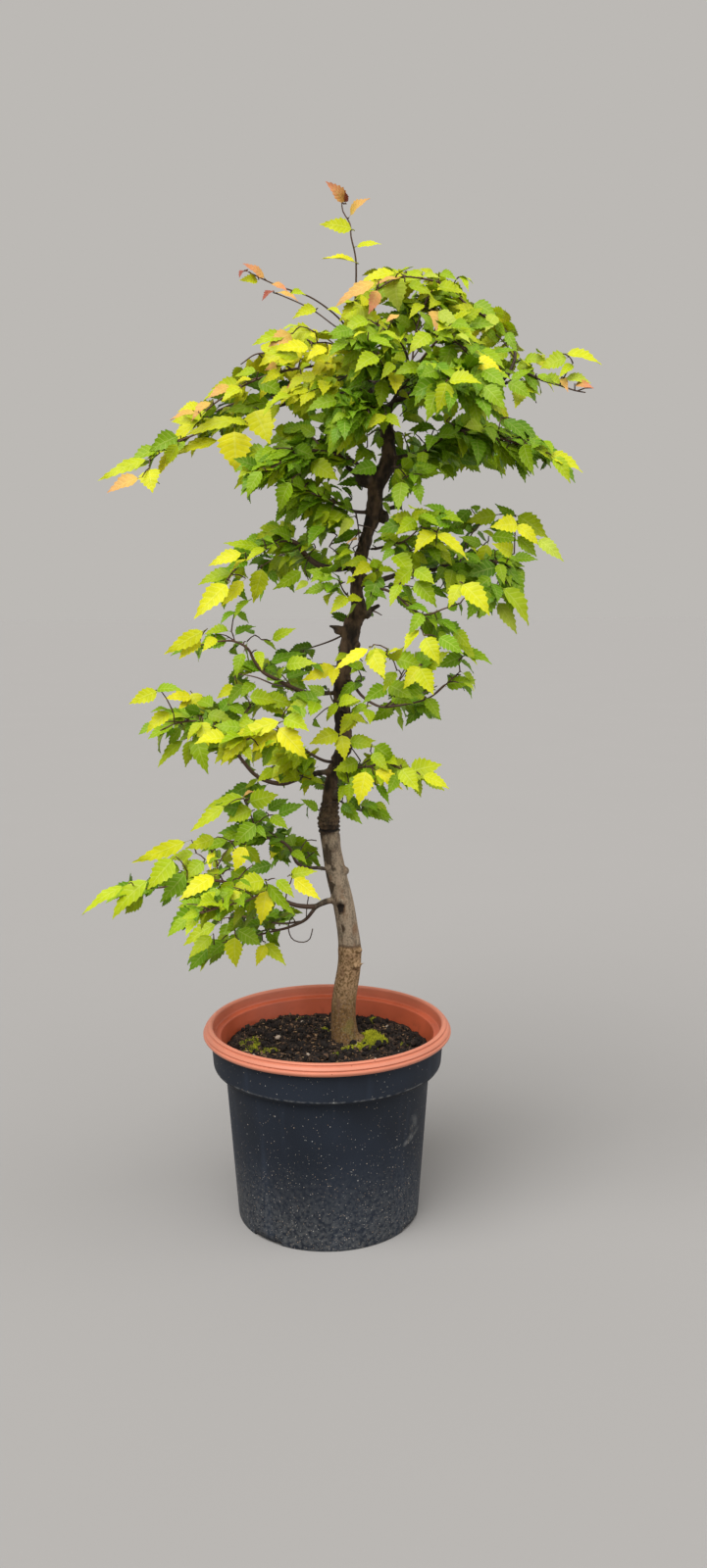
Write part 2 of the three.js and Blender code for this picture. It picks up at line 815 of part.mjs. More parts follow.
// The place on a stem that a leaf with this tip grows from. It is about a leaf's length away, off the
// roots that are taken, and not where the leaf would run along the stem.
function rootOf(points, first, tip, taken) {
  const last = points.length - 1;
  const steps = 8 * last;
  let best = null;
  for (let i = 0; i <= steps; i += 1) {
    const t = first + (last - 0.02 - first) * (i / steps);
    const place = along(points, t);
    const reach = tip.clone().sub(place);
    const length = reach.length();
    const way = points[Math.ceil(t)].clone().sub(points[Math.ceil(t) - 1]).normalize();
    const lean = t > last - 0.1 ? 0 : Math.abs(reach.dot(way)) / length;
    const near = taken.length ? Math.min(...taken.map((root) => root.distanceTo(place))) : leaf.spacing;
    const miss = Math.max(0, leaf.usual - length) * misses.short
      + Math.max(0, length - leaf.usual) * misses.long
      + Math.max(0, lean - steepestLean) * misses.lean
      + Math.max(0, leaf.spacing - near) * misses.near;
    if (!best || miss < best.miss) {
      best = { place, miss };
    }
  }
  return best.place;
}

// The leaves of one stem, each as its base, its tip and the way that it faces
function leavesOf(stem, points, number, first) {
  drawState = drawing.seedStep * number + drawing.seed;
  const last = points.length - 1;
  const leaves = [];
  const taken = [];
  for (const [x, z] of stem.tips) {
    const nearby = rootOf(points, first, seen([x, z, along(points, last / 2).y]), taken);
    const tip = seen([x, z, nearby.y + (draw() - 0.6) * leaf.depthSpread]);
    const root = rootOf(points, first, tip, taken);
    taken.push(root);
    const reach = tip.clone().sub(root);
    const length = Math.min(leaf.longest, reach.length());
    tip.copy(root).addScaledVector(reach.normalize(), length);
    const face = new THREE.Vector3((draw() - 0.5) * 1.4, -0.6 + (draw() - 0.5) * 0.7, 0.75);
    leaves.push({ root, tip, face });
  }
  for (let i = 0; i < (stem.extra ?? 0); i += 1) {
    const share = ((i + 1) * goldenShare) % 1;
    const t = first + (last - first) * (0.1 + 0.88 * share);
    const root = along(points, t);
    const way = along(points, Math.min(last, t + 0.3)).sub(along(points, t - 0.3)).normalize();
    const side = new THREE.Vector3(way.y, -way.x, 0).normalize();
    const rank = i % 2 === 0 ? 1 : -1;
    const reach = way.multiplyScalar(0.5)
      .addScaledVector(side, rank * (0.6 + 0.4 * draw()))
      .add(new THREE.Vector3(0, 0, 0.25 - 0.8 * draw()))
      .normalize();
    const length = leaf.shortest + leaf.lengthSpread * draw();
    const outward = new THREE.Vector3(root.x - eye.x, root.y, 0).normalize();
    const face = outward.multiplyScalar(0.5).add(new THREE.Vector3((draw() - 0.5) * 0.5, 0, 0.8));
    leaves.push({ root, tip: root.clone().addScaledVector(reach, length), face });
  }
  return leaves;
}

function overlaps(solid, box, others) {
  for (const other of others) {
    if (box.intersectsBox(other.box) && solid.intersect(other.solid).volume() > 1e-6) {
      return true;
    }
  }
  return false;
}

function boxOf(solid) {
  const { min, max } = solid.boundingBox();
  return new THREE.Box3(new THREE.Vector3(...min), new THREE.Vector3(...max));
}

// The trial turns of a leaf that would meet another piece
const trials = [[0, 0], [0.25, 0], [-0.25, 0], [0, 0.3], [0, -0.3], [0.45, 0.2], [-0.45, 0.2], [0.3, -0.35]];

// The spray with one more leaf, in the first trial turn that is clear of everything else
function growLeaf(body, entry, obstacles) {
  const reach = entry.tip.clone().sub(entry.root);
  const length = reach.length();
  const forward = reach.clone().normalize();
  const face = entry.face.clone().addScaledVector(forward, -entry.face.dot(forward)).normalize();
  const side = forward.clone().cross(face);
  const width = leaf.widthRatio * length;
  for (const [swing, tilt] of trials) {
    const way = forward.clone().addScaledVector(side, swing).addScaledVector(face, tilt).normalize();
    const tip = entry.root.clone().addScaledVector(way, length);
    const guardBase = entry.root.clone().addScaledVector(way, leaf.freeFrom * length);
    const guardTip = tip.clone().addScaledVector(way, clearance);
    const guard = blade(guardBase, guardTip, face, width + 2 * clearance, leaf.ribThickness + 2 * clearance);
    const box = boxOf(guard);
    if (!overlaps(guard, box, obstacles)) {
      const grown = body.add(blade(entry.root, tip, face, width, leaf.ribThickness));
      if (settled(grown)) {
        return { body: grown, guard: { solid: guard, box }, tip };
      }
    }
  }
  return null;
}

// How many spans a length along the line takes
function spansAt(points, length) {
  let left = length;
  for (let i = 0; i < points.length - 1; i += 1) {
    const span = points[i].distanceTo(points[i + 1]);
    if (left < span) {
      return i + left / span;
    }
    left -= span;
  }
  return points.length - 1;
}

// The points of a spray's stems, where each side stem begins inside the first one. Their depths are
// stretched from the root, so that the crown is as round as it is wide.
function stemPoints(spray) {
  const rootDepth = spray.stems[0].line[0][2];
  const stretch = spray.depthScale ?? usualDepthScale;
  const place = ([x, z, y]) => seen([x, z, rootDepth + (y - rootDepth) * stretch]);
  const main = spray.stems[0].line.map(place);
  return spray.stems.map((stem, i) => (i === 0 ? main : [along(main, stem.from), ...stem.line.map(place)]));
}

function stemRadii(points, radius) {
  return points.map((_, i) => THREE.MathUtils.lerp(radius, thinnestTwig, i / (points.length - 1)));
}

function nurseryPot() {
  const p = outerPot;
  const w = p.wall;
  const solid = turned([
    [0, 0],
    [p.footRadius - 3, 0],
    [p.footRadius, 3],
    [p.bodyTopRadius, p.bodyTopHeight],
    [p.collarRadius - 3, p.bodyTopHeight + 0.6],
    [p.collarRadius, p.collarHeight],
    [p.topRadius, p.topHeight],
    [p.topRadius - w, p.topHeight],
    [p.collarRadius - w, p.collarHeight + 1],
    [p.bodyTopRadius - w, p.bodyTopHeight],
    [p.footRadius - w, p.floor + 3],
    [p.footRadius - w - 3, p.floor],
    [0, p.floor],
  ]);
  const cuts = [];
  for (const degrees of p.notchAngles) {
    const angle = THREE.MathUtils.degToRad(degrees);
    const notch = new THREE.BoxGeometry(2 * p.notchDepth, p.notchWidth, 2 * p.notchHeight);
    notch.translate(p.footRadius, 0, 0);
    notch.rotateZ(angle);
    cuts.push(toSolid(notch));
  }
  for (let i = 0; i < p.holes; i += 1) {
    const angle = (2 * Math.PI * i) / p.holes;
    const [x, y] = [p.holeCircle * Math.cos(angle), p.holeCircle * Math.sin(angle)];
    cuts.push(upright(p.holeRadius, -1, p.floor + 1, x, y, sides.holes));
  }
  return wasm.Manifold.difference([solid, ...cuts]);
}

function terracottaPot() {
  const p = innerPot;
  const w = p.wall;
  const solid = turned([
    [0, p.footHeight],
    [p.footRadius, p.footHeight],
    [p.neckRadius, p.stepHeight - 2],
    [p.stepRadius + w, p.stepHeight + 1.5],
    [p.ledgeRadius + w, p.rimLowest],
    [p.rimRadius - 2, p.rimLowest],
    [p.rimRadius, p.rimLowest + 2.5],
    [p.rimRadius - 0.3, p.rimLowest + 4.6],
    [p.rimRadius - 1 - p.grooveDepth, p.rimLowest + 5.2],
    [p.rimRadius - 1.2, p.rimLowest + 6.6],
    [p.rimRadius - 3, p.rimHeight - 3.4],
    [p.rimRadius - 4.2 - p.grooveDepth, p.rimHeight - 2.8],
    [p.rimRadius - 5, p.rimHeight - 1],
    [p.rimRadius - 7.2, p.rimHeight],
    [p.mouthRadius + 1.5, p.rimHeight - 0.2],
    [p.mouthRadius, p.rimHeight - 1.8],
    [p.mouthRadius - 1.2, p.ledgeHeight + 1.2],
    [p.ledgeRadius, p.ledgeHeight + 0.6],
    [p.stepRadius, p.stepHeight + 2],
    [p.neckRadius - w, p.stepHeight],
    [p.footRadius - w, p.footHeight + w + 2],
    [0, p.footHeight + w + 2],
  ]);
  const cuts = [];
  for (let i = 0; i < p.holes; i += 1) {
    const angle = Math.PI / 4 + (2 * Math.PI * i) / p.holes;
    const [x, y] = [p.holeCircle * Math.cos(angle), p.holeCircle * Math.sin(angle)];
    cuts.push(upright(p.holeRadius, 0, p.footHeight + w + 4, x, y, sides.holes));
  }
  return wasm.Manifold.difference([solid, ...cuts]);
}

// The height of the soil, with a mound at the back left and small lumps
function soilHeight(x, y) {
  const lumps = 1.6 * Math.sin(x * 0.11 + 1) * Math.cos(y * 0.13) + 1.1 * Math.sin(x * 0.23 - y * 0.19);
  return mounds.reduce((height, mound) => {
    const away = Math.hypot(x - mound.x, y - mound.y) / mound.width;
    return height + mound.height * Math.exp(-away * away);
  }, soilTop - 2 + lumps);
}

function soil(stump) {
  const p = innerPot;
  const inner = p.neckRadius - p.wall - gap;
  const bottom = p.footHeight + p.wall + 2 + gap;
  const footWidth = p.footRadius - p.wall - gap;
  const wallSlope = (p.ledgeRadius - p.stepRadius) / (p.ledgeHeight - p.stepHeight);
  const topRadius = p.stepRadius - gap + (soilTop - 5 - p.stepHeight) * wallSlope;
  const geometry = new THREE.LatheGeometry([
    [0, bottom],
    [footWidth, bottom],
    [inner, p.stepHeight + gap],
    [p.stepRadius - gap, p.stepHeight + 2 + 1.5 * gap],
    [topRadius, soilTop - 2],
    [84, soilTop],
    [56, soilTop],
    [30, soilTop],
    [0, soilTop],
  ].map(([radius, height]) => new THREE.Vector2(radius, height)), sides.pot);
  geometry.rotateX(Math.PI / 2);
  const position = geometry.attributes.position;
  for (let i = 0; i < position.count; i += 1) {
    if (position.getZ(i) > soilTop - 1) {
      position.setZ(i, soilHeight(position.getX(i), position.getY(i)));
    }
  }
  return toSolid(geometry).subtract(stump);
}

function trunkSolids() {
  const solids = [limb(trunkLine.map(seen), trunkLine.map((row) => row[3]), sides.trunk)];
  for (const [x, z, y, ...halfSizes] of knots) {
    const knot = new THREE.SphereGeometry(1, 6, 3);
    knot.scale(...halfSizes);
    knot.translate(...seen([x, z, y]).toArray());
    solids.push(toSolid(knot));
  }
  for (const { line, radii: [thick, thin] } of boughs) {
    const radii = line.map((_, i) => THREE.MathUtils.lerp(thick, thin, i / (line.length - 1)));
    solids.push(limb(line.map(seen), radii, sides.bough));
  }
  return solids;
}

// The trunk's foot stands in a plain round hole in the soil
function stumpHole() {
  const lowest = seen(trunkLine[0]);
  return upright(stumpHoleRadius, lowest.z - gap, soilTop + 20, lowest.x, lowest.y, sides.stumpHole);
}

// A spray's twigs with their leaves, clear of everything that stands already
function growSpray(spray, number, obstacles, tips) {
  const { twigs, start, lines } = spray.wood;
  const guards = [];
  let body = wasm.Manifold.union(twigs);
  spray.stems.forEach((stem, i) => {
    const first = i === 0 ? start + leafless.main : leafless.side;
    for (const entry of leavesOf(stem, lines[i], 10 * number + i, first)) {
      const crowded = tips.some((tip) => tip.distanceTo(entry.tip) < leaf.crowding);
      const grown = crowded ? null : growLeaf(body, entry, [...obstacles, ...guards]);
      if (grown) {
        body = grown.body;
        guards.push(grown.guard);
        tips.push(grown.tip);
      }
    }
  });
  return { body: settled(body), guards };
}

const group = new THREE.Group();
const trunkWood = trunkSolids();

const grownSprays = sprays.map((spray) => {
  const lines = stemPoints(spray);
  const radii = lines.map((points, i) => stemRadii(points, spray.stems[i].radius));
  const start = spansAt(lines[0], spray.woodLength + gap);
  trunkWood.push(limb(lines[0], radii[0], sides.twig, 0, spansAt(lines[0], spray.woodLength)));
  const twigs = lines.map((points, i) => limb(points, radii[i], sides.twig, i === 0 ? start : 0));
  return { ...spray, wood: { twigs, start, lines } };
});

const trunk = settled(wasm.Manifold.union(trunkWood));
const standing = [{ solid: trunk, box: boxOf(trunk), owner: 'trunk' }];
for (const { name, wood } of grownSprays) {
  standing.push(...wood.twigs.map((twig) => ({ solid: twig, box: boxOf(twig), owner: name })));
}

const tips = [];
grownSprays.forEach((spray, number) => {
  const others = standing.filter((item) => item.owner !== spray.name);
  const { body, guards } = growSpray(spray, number, others, tips);
  standing.push(...guards.map((guard) => ({ ...guard, owner: spray.name })));
  group.add(piece(spray.name, body, finish(spray.colour, 0.55)));
});

group.add(piece('nursery_pot', nurseryPot(), finish(0x1d1f21, 0.6)));
group.add(piece('inner_pot', terracottaPot(), finish(0x9c4a33, 0.5)));
group.add(piece('soil', soil(stumpHole()), finish(0x2a211b, 0.95)));
group.add(piece('trunk', trunk, finish(0x4a3b30, 0.85)));

export default group;
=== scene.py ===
# A young Japanese zelkova grown as a bonsai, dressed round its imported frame: bark, twigs, serrated leaves,
# peat and moss, and the two plastic pots.
import math
from collections import namedtuple

import bmesh
import bpy
import numpy as np
from bpy.props import FloatProperty, FloatVectorProperty, IntProperty, PointerProperty
from mathutils import Matrix, Vector, noise


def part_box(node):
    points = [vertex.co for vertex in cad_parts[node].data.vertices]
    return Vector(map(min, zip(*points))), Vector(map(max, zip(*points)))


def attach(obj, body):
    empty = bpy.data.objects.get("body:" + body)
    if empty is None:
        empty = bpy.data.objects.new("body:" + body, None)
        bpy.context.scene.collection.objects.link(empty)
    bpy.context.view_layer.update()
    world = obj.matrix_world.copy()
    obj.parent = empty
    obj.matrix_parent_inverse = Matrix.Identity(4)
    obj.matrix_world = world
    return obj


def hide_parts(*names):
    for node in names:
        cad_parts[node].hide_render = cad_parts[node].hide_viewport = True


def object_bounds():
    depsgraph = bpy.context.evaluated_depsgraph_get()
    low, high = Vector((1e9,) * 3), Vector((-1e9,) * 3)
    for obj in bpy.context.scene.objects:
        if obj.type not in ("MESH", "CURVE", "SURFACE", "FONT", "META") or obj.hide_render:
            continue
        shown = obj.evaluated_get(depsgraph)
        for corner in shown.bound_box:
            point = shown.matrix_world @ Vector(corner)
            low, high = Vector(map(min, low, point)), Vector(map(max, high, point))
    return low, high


bl_info = {
    "name": "Zelkova bonsai",
    "version": (1, 0, 0),
    "blender": (4, 5, 0),
    "location": "View3D > Sidebar > Zelkova",
    "description": "Makes a young zelkova bonsai with its bark, leaves, soil and nursery pots",
    "category": "Add Mesh",
}

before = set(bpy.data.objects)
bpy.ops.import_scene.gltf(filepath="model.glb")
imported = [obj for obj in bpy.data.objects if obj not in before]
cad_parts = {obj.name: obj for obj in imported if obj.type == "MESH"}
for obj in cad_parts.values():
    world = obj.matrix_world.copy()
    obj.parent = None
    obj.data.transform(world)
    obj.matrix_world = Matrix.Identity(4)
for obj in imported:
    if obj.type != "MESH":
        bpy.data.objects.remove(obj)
cad_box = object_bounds()
MM = 0.001
BODY = "root"

# The eye of the front view, in millimetres. A place is given by x and z as that view shows them in the
# plane of the pot's axis, and by its depth y. At another depth it lies on the same line of sight.
EYE = Vector((30, -1324, 681))

# Trunk rows hold x, z, y and the radius, in millimetres.
TRUNK = [
    (22, 150, 15, 12), (22, 178, 15, 19.5), (21, 190, 15, 17.6), (19, 202, 14, 15.2), (17.5, 220, 13, 13.8),
    (19, 245, 12, 13.4), (24, 276, 12, 12.8), (25, 298, 11, 12.6), (22.5, 322, 10, 11.6),
    (18, 350, 9, 11.4), (11, 380, 8, 11.2), (6, 410, 8, 10.2), (3.5, 440, 7, 11.4), (5, 462, 7, 8.8),
    (6.5, 482, 6, 6.8), (13, 502, 6, 7.2), (21, 520, 5, 8.5), (18.5, 542, 4, 8.8), (18, 575, 3, 9.2),
    (20, 600, 2, 8.2), (25.5, 623, 2, 9.4), (28, 642, 1, 9.6), (35.5, 660, 1, 8), (34, 682, 0, 6.6),
    (38.5, 712, 0, 7), (46, 740, 0, 6.4), (52.5, 763, 0, 8), (54, 784, 0, 8.4), (62, 802, 0, 9),
    (68, 815, 1, 7.8), (66, 836, 1, 6.6), (65, 856, 1, 6.2), (56, 866, 1, 5.2), (47, 880, 0, 4.6),
    (43, 896, 0, 4), (39.5, 916, 0, 4.8), (34.5, 936, 0, 3.6),
]

# Knot rows hold x, z, y and the half sizes along x, y and z.
KNOTS = [
    (32, 279, 3, 5.5, 7, 4.5), (16, 351, 1, 7, 7, 6), (19.5, 384, 5, 5.5, 5, 5), (3, 440, 3, 12, 12, 11),
    (17, 640, 2, 7, 6, 5), (44, 658, -2, 6, 7, 6), (43, 794, -3, 10, 9, 8), (66, 863, -1, 5, 6, 5),
    (39, 918, -2, 6, 6, 6), (35.5, 296, 3, 3, 5, 2.6), (33, 625, -2, 5, 6, 5.5), (62, 756, 0, 6, 6, 7),
    (12, 468, -1, 6, 7, 7), (8, 412, -2, 6, 5, 7), (24, 500, 0, 5, 6, 5), (30, 706, 0, 5, 5, 6),
    (56, 776, -4, 6, 6, 9), (72, 838, 0, 4, 5, 5), (35, 188, 12, 11, 11, 13), (13, 186, 20, 12, 10, 12),
]

# Cut stubs of old branches: x, z and y of the root, the way they stand out, how far, and their radius
STUBS = [
    ((46, 660, 0), (0.9, -0.3, 0.5), 9, 2.4), ((13, 643, 2), (-1, -0.2, 0.3), 3, 2),
    ((34, 280, 3), (1, -0.2, 0.2), 2.5, 0.8), ((14, 470, 4), (0.9, -0.5, 0.6), 2, 2),
    ((17, 386, 4), (1, -0.5, -0.2), 1.5, 2.4), ((38, 918, 0), (0.3, -0.5, 1), 8, 3.2),
    ((44, 920, 0), (0.9, -0.2, 0.8), 7, 2), ((14, 470, 4), (0.8, -0.6, 0.3), 4, 2.6),
    ((34, 800, -4), (-0.9, -0.3, 0.6), 8, 2.6), ((66, 764, 0), (1, -0.2, 0.3), 8, 2),
]

# Boughs that carry more than one spray, with their radii at both ends
BOUGHS = [
    ([(64, 860, 2), (84, 876, -6), (114, 884, -14), (148, 880, -10), (176, 884, -2)], 3.6, 2.4),
    ([(52, 872, 2), (22, 878, 8), (-6, 874, 12), (-34, 870, 12)], 3, 2),
    ([(36, 696, 0), (58, 692, -8), (84, 700, -12), (112, 702, -10)], 3.4, 2.2),
]

# Each spray has the length of its first stem that is the trunk's own wood, the length that is bare where that
# is more, how fresh its leaves are, from 0 in the shade to 1 at the newest shoots, whether they are lime,
# whether its stems are thin new shoots, whether it is at the back, and its stems. A stem has its radius, its
# points, how many leaves stand along it in two ranks, and how densely fine twigs fill it in. A side stem
# starts from a place on the first one, counted in its points. Lengths are in millimetres.
Spray = namedtuple("Spray", "name wood bare fresh lime thin back stems",
                   defaults=(0, 0.5, False, False, False, ()))
Stem = namedtuple("Stem", "radius line start ranks fill", defaults=((), 0, 0, 0))
SPRAYS = [
    Spray("spray_leader", wood=24, fresh=0.9, lime=True, thin=True, stems=[
        Stem(1.9, line=[(39.5, 918, 0), (34, 940, 0), (34, 962, -2), (35, 997, -4), (34, 1013, -5),
            (30, 1030, -5), (29, 1042, -4), (22, 1054, -3), (21, 1063, -2)]),
    ]),
    Spray("spray_apex_left", wood=14, fresh=0.86, lime=True, thin=True, stems=[
        Stem(1.7, line=[(37, 926, 0), (27, 941, -4), (12, 957, -8), (-12, 973, -12), (-39, 982, -16),
            (-56, 989, -18), (-71, 996, -20)]),
        Stem(1.4, start=1, line=[(16, 943, 8), (-10, 961, 14), (-39, 974, 18), (-48, 977, 20)]),
    ]),
    Spray("spray_arch", wood=14, fresh=0.68, lime=True, stems=[
        Stem(2, fill=2.2, line=[(176, 884, -2), (190, 900, 4), (195, 917, 8), (188, 933, 12), (178, 946, 14),
            (149, 962, 12), (125, 983, 8), (94, 991, 2), (75, 990, -4), (55, 979, -8), (51, 973, -10)]),
    ]),
    Spray("spray_far_right", wood=8, fresh=0.7, lime=True, stems=[
        Stem(1.6, fill=1.6, line=[(176, 884, -2), (197, 893, -6), (206, 898, -8), (223, 891, -10),
            (241, 886, -12), (256, 881, -14), (267, 879, -16)]),
    ]),
    Spray("spray_crown_right", wood=16, fresh=0.52, stems=[
        Stem(2.2, fill=5, line=[(66, 864, 0), (76, 878, -6), (90, 896, -14), (104, 916, -22), (120, 932, -28),
            (136, 928, -32), (150, 914, -36)]),
        Stem(1.4, start=2, fill=9, line=[(92, 918, -4), (96, 944, 6), (104, 962, 8), (114, 957, 6),
            (123, 949, 4)]),
        Stem(1.3, start=2.4, fill=9, line=[(120, 900, -44), (140, 890, -66)]),
        Stem(1.2, start=0.6, fill=9, line=[(62, 866, -22), (48, 864, -38), (36, 856, -48)]),
        Stem(1.2, start=1, fill=5, line=[(68, 896, -24), (58, 912, -38), (48, 924, -46)]),
        Stem(1.2, start=2, fill=2.5, line=[(84, 922, -24), (68, 938, -34), (52, 948, -36)]),
    ]),
    Spray("spray_crown_back", wood=16, back=True, stems=[
        Stem(2.2, ranks=7, fill=2, line=[(50, 874, 1), (56, 888, 30), (66, 896, 64), (84, 898, 96),
            (100, 890, 126)]),
        Stem(1.5, start=1, ranks=7, fill=2, line=[(30, 898, 66), (8, 896, 94), (-14, 886, 116)]),
    ]),
    Spray("spray_crown_left", wood=12, fresh=0.86, lime=True, stems=[
        Stem(1.8, fill=1.1, line=[(43, 896, 0), (22, 904, -6), (-8, 906, -10), (-52, 898, -14),
            (-88, 883, -18), (-117, 864, -20), (-132, 845, -20)]),
        Stem(1.4, start=2.5, fill=1.4, line=[(-50, 916, 10), (-66, 918, 26), (-82, 908, 38)]),
        Stem(1.2, start=0.3, fill=0.9, line=[(26, 916, -20), (8, 928, -34), (-12, 928, -42)]),
        Stem(1.2, start=0.6, fill=2, line=[(18, 892, -26), (0, 886, -40), (-22, 878, -48)]),
    ]),
    Spray("spray_left_upper", wood=6, fresh=0.84, lime=True, stems=[
        Stem(1.9, fill=1.0, line=[(-34, 870, 12), (-48, 866, 8), (-59, 860, 2), (-71, 849, -4),
            (-98, 852, -10), (-131, 839, -16), (-157, 828, -20), (-177, 813, -22)]),
    ]),
    Spray("spray_left_upper_back", wood=6, back=True, stems=[
        Stem(1.6, ranks=7, fill=1.5, line=[(-34, 870, 12), (-50, 876, 36), (-76, 874, 62), (-104, 864, 84),
            (-128, 850, 100)]),
    ]),
    Spray("spray_left_knob", wood=22, fresh=0.56, stems=[
        Stem(2.7, fill=7, line=[(50, 792, -2), (39, 806, -8), (24, 816, -16), (0, 822, -26), (-20, 822, -36),
            (-42, 812, -44), (-58, 802, -50)]),
        Stem(1.3, start=3, fill=6, line=[(-8, 834, -16), (-20, 842, -8), (-36, 838, 4)]),
    ]),
    Spray("spray_right_upper", wood=20, fresh=0.54, stems=[
        Stem(2.3, fill=6.5, line=[(66, 814, 0), (84, 817, -6), (105, 822, -14), (120, 834, -20),
            (142, 842, -26), (168, 838, -32), (196, 830, -36), (222, 824, -38)]),
        Stem(1.6, start=1.7, fill=6.5, line=[(100, 812, 18), (122, 816, 40), (146, 822, 62), (172, 818, 78)]),
        Stem(1.1, start=1.4, fill=6.5, line=[(82, 804, -20), (86, 796, -34)]),
    ]),
    Spray("spray_left_760", wood=14, fresh=0.6, stems=[
        Stem(2.2, fill=3.5, line=[(52, 763, 0), (41, 761, -4), (28, 763, -10), (14, 770, -16), (0, 776, -22),
            (-16, 782, -28), (-31, 785, -32)]),
        Stem(1.1, start=1.6, fill=3.5, line=[(36, 746, -14), (37, 728, -18)]),
    ]),
    Spray("spray_left_705", wood=16, bare=44, fresh=0.6, stems=[
        Stem(4.4, fill=1.4, line=[(36, 705, 0), (26, 706, -4), (12, 704, -8), (-4, 707, -12), (-18, 717, -16),
            (-28, 730, -20), (-44, 733, -22), (-62, 723, -24), (-80, 713, -26), (-94, 701, -28),
            (-102, 690, -28)]),
        Stem(1.4, start=4.2, fill=1.4, line=[(-30, 722, 14), (-48, 716, 38), (-68, 704, 56)]),
    ]),
    Spray("spray_right_700", wood=6, fresh=0.58, stems=[
        Stem(2, fill=2.4, line=[(112, 702, -10), (126, 706, -14), (142, 708, -20), (160, 711, -26),
            (178, 710, -30), (194, 704, -32)]),
        Stem(1.3, start=1.9, fill=2.4, line=[(146, 724, -12), (154, 740, -4), (166, 752, 2)]),
        Stem(1.1, start=4, fill=2.4, line=[(182, 696, -36), (178, 682, -40)]),
    ]),
    Spray("spray_right_700_back", wood=6, back=True, stems=[
        Stem(1.7, ranks=7, fill=1.5, line=[(112, 702, -10), (122, 706, 14), (132, 712, 42), (146, 716, 68),
            (160, 712, 90)]),
    ]),
    Spray("spray_right_735", wood=16, fresh=0.62, stems=[
        Stem(1.8, fill=2.2, line=[(42, 724, 0), (54, 724, -6), (66, 727, -14), (80, 730, -24), (92, 738, -32),
            (104, 750, -38)]),
    ]),
    Spray("spray_right_660", wood=18, stems=[
        Stem(1.8, fill=1.1, line=[(36, 688, 0), (50, 684, -12), (64, 682, -26), (78, 674, -38),
            (92, 662, -46), (106, 656, -52), (124, 662, -56), (142, 668, -58)]),
    ]),
    Spray("spray_trunk_680", wood=12, fresh=0.66, lime=True, stems=[
        Stem(1.4, fill=1, line=[(33, 672, 0), (26, 675, -14), (20, 682, -28), (16, 692, -40)]),
    ]),
    Spray("spray_mid_back", wood=18, back=True, stems=[
        Stem(2.2, ranks=7, fill=1.2, line=[(26, 632, 2), (28, 640, 30), (36, 652, 64), (50, 660, 98),
            (60, 656, 128)]),
        Stem(1.5, start=1, ranks=7, fill=1.2, line=[(8, 630, 60), (-16, 622, 84), (-38, 616, 104)]),
    ]),
    Spray("spray_left_575", wood=22, bare=36, fresh=0.62, stems=[
        Stem(3, fill=1.2, line=[(16, 577, 3), (4, 575, -2), (-20, 576, -10), (-36, 582, -16), (-51, 590, -20),
            (-64, 597, -22), (-74, 610, -24), (-80, 622, -26), (-96, 630, -28), (-120, 628, -32),
            (-139, 623, -34)]),
        Stem(1.5, start=3, fill=1.2, line=[(-52, 584, 12), (-72, 592, 38), (-92, 596, 58)]),
    ]),
    Spray("spray_right_590", wood=14, bare=44, fresh=0.58, stems=[
        Stem(1.8, fill=1.3, line=[(20, 592, 2), (28, 587, -4), (38, 573, -12), (50, 564, -18), (62, 560, -22),
            (80, 562, -26), (100, 566, -30), (114, 572, -32), (129, 585, -34), (142, 597, -36)]),
        Stem(1.3, start=4.1, fill=1.3, line=[(73, 570, -34), (76, 584, -42), (84, 600, -46)]),
        Stem(1.4, start=4, fill=1.3, line=[(78, 564, 8), (98, 572, 34), (118, 582, 54)]),
    ]),
    Spray("spray_trunk_560", wood=10, fresh=0.6, lime=True, stems=[
        Stem(1.3, fill=1, line=[(18, 556, 3), (14, 560, -12), (8, 568, -24), (4, 580, -34)]),
    ]),
    Spray("spray_far_left", wood=40, bare=56, fresh=0.6, stems=[
        Stem(3.3, fill=2.2, line=[(6, 492, 6), (-13, 489, 0), (-30, 484, -4), (-45, 479, -8), (-62, 482, -10),
            (-76, 490, -10), (-92, 510, -10), (-104, 527, -12), (-116, 540, -16), (-134, 546, -22),
            (-156, 544, -28), (-174, 536, -32)]),
        Stem(1.5, start=7, fill=2.2, line=[(-118, 544, 12), (-134, 552, 36), (-150, 552, 56)]),
        Stem(1.3, start=6, fill=2.2, line=[(-92, 534, -16), (-86, 552, -20), (-78, 562, -22)]),
    ]),
    Spray("spray_left_front", wood=12, fresh=0.78, lime=True, stems=[
        Stem(1.9, fill=2.4, line=[(10, 502, 6), (0, 503, -8), (-14, 510, -24), (-30, 522, -42),
            (-48, 534, -58), (-66, 534, -70), (-82, 526, -78)]),
    ]),
    Spray("spray_low_back", wood=18, back=True, stems=[
        Stem(2.2, ranks=7, fill=1.2, line=[(8, 470, 7), (4, 474, 34), (-8, 482, 66), (-26, 490, 96),
            (-44, 494, 124)]),
        Stem(1.5, start=1.1, ranks=7, fill=1.2, line=[(24, 486, 64), (48, 496, 84), (70, 502, 100)]),
    ]),
    Spray("spray_right_500", wood=10, fresh=0.72, lime=True, stems=[
        Stem(1.9, fill=1.8, line=[(10, 498, 6), (22, 497, -2), (36, 496, -10), (48, 497, -18), (62, 501, -24),
            (76, 496, -30), (90, 490, -34)]),
    ]),
    Spray("spray_right_460", wood=10, fresh=0.5, stems=[
        Stem(1.3, fill=1.2, line=[(6, 458, 7), (15, 460, 0), (26, 453, -6), (38, 449, -10)]),
    ]),
    Spray("spray_low_left_upper", wood=40, bare=52, stems=[
        Stem(2.4, fill=1.9, line=[(10, 384, 8), (-6, 387, 2), (-22, 388, -4), (-32, 394, -8), (-38, 408, -10),
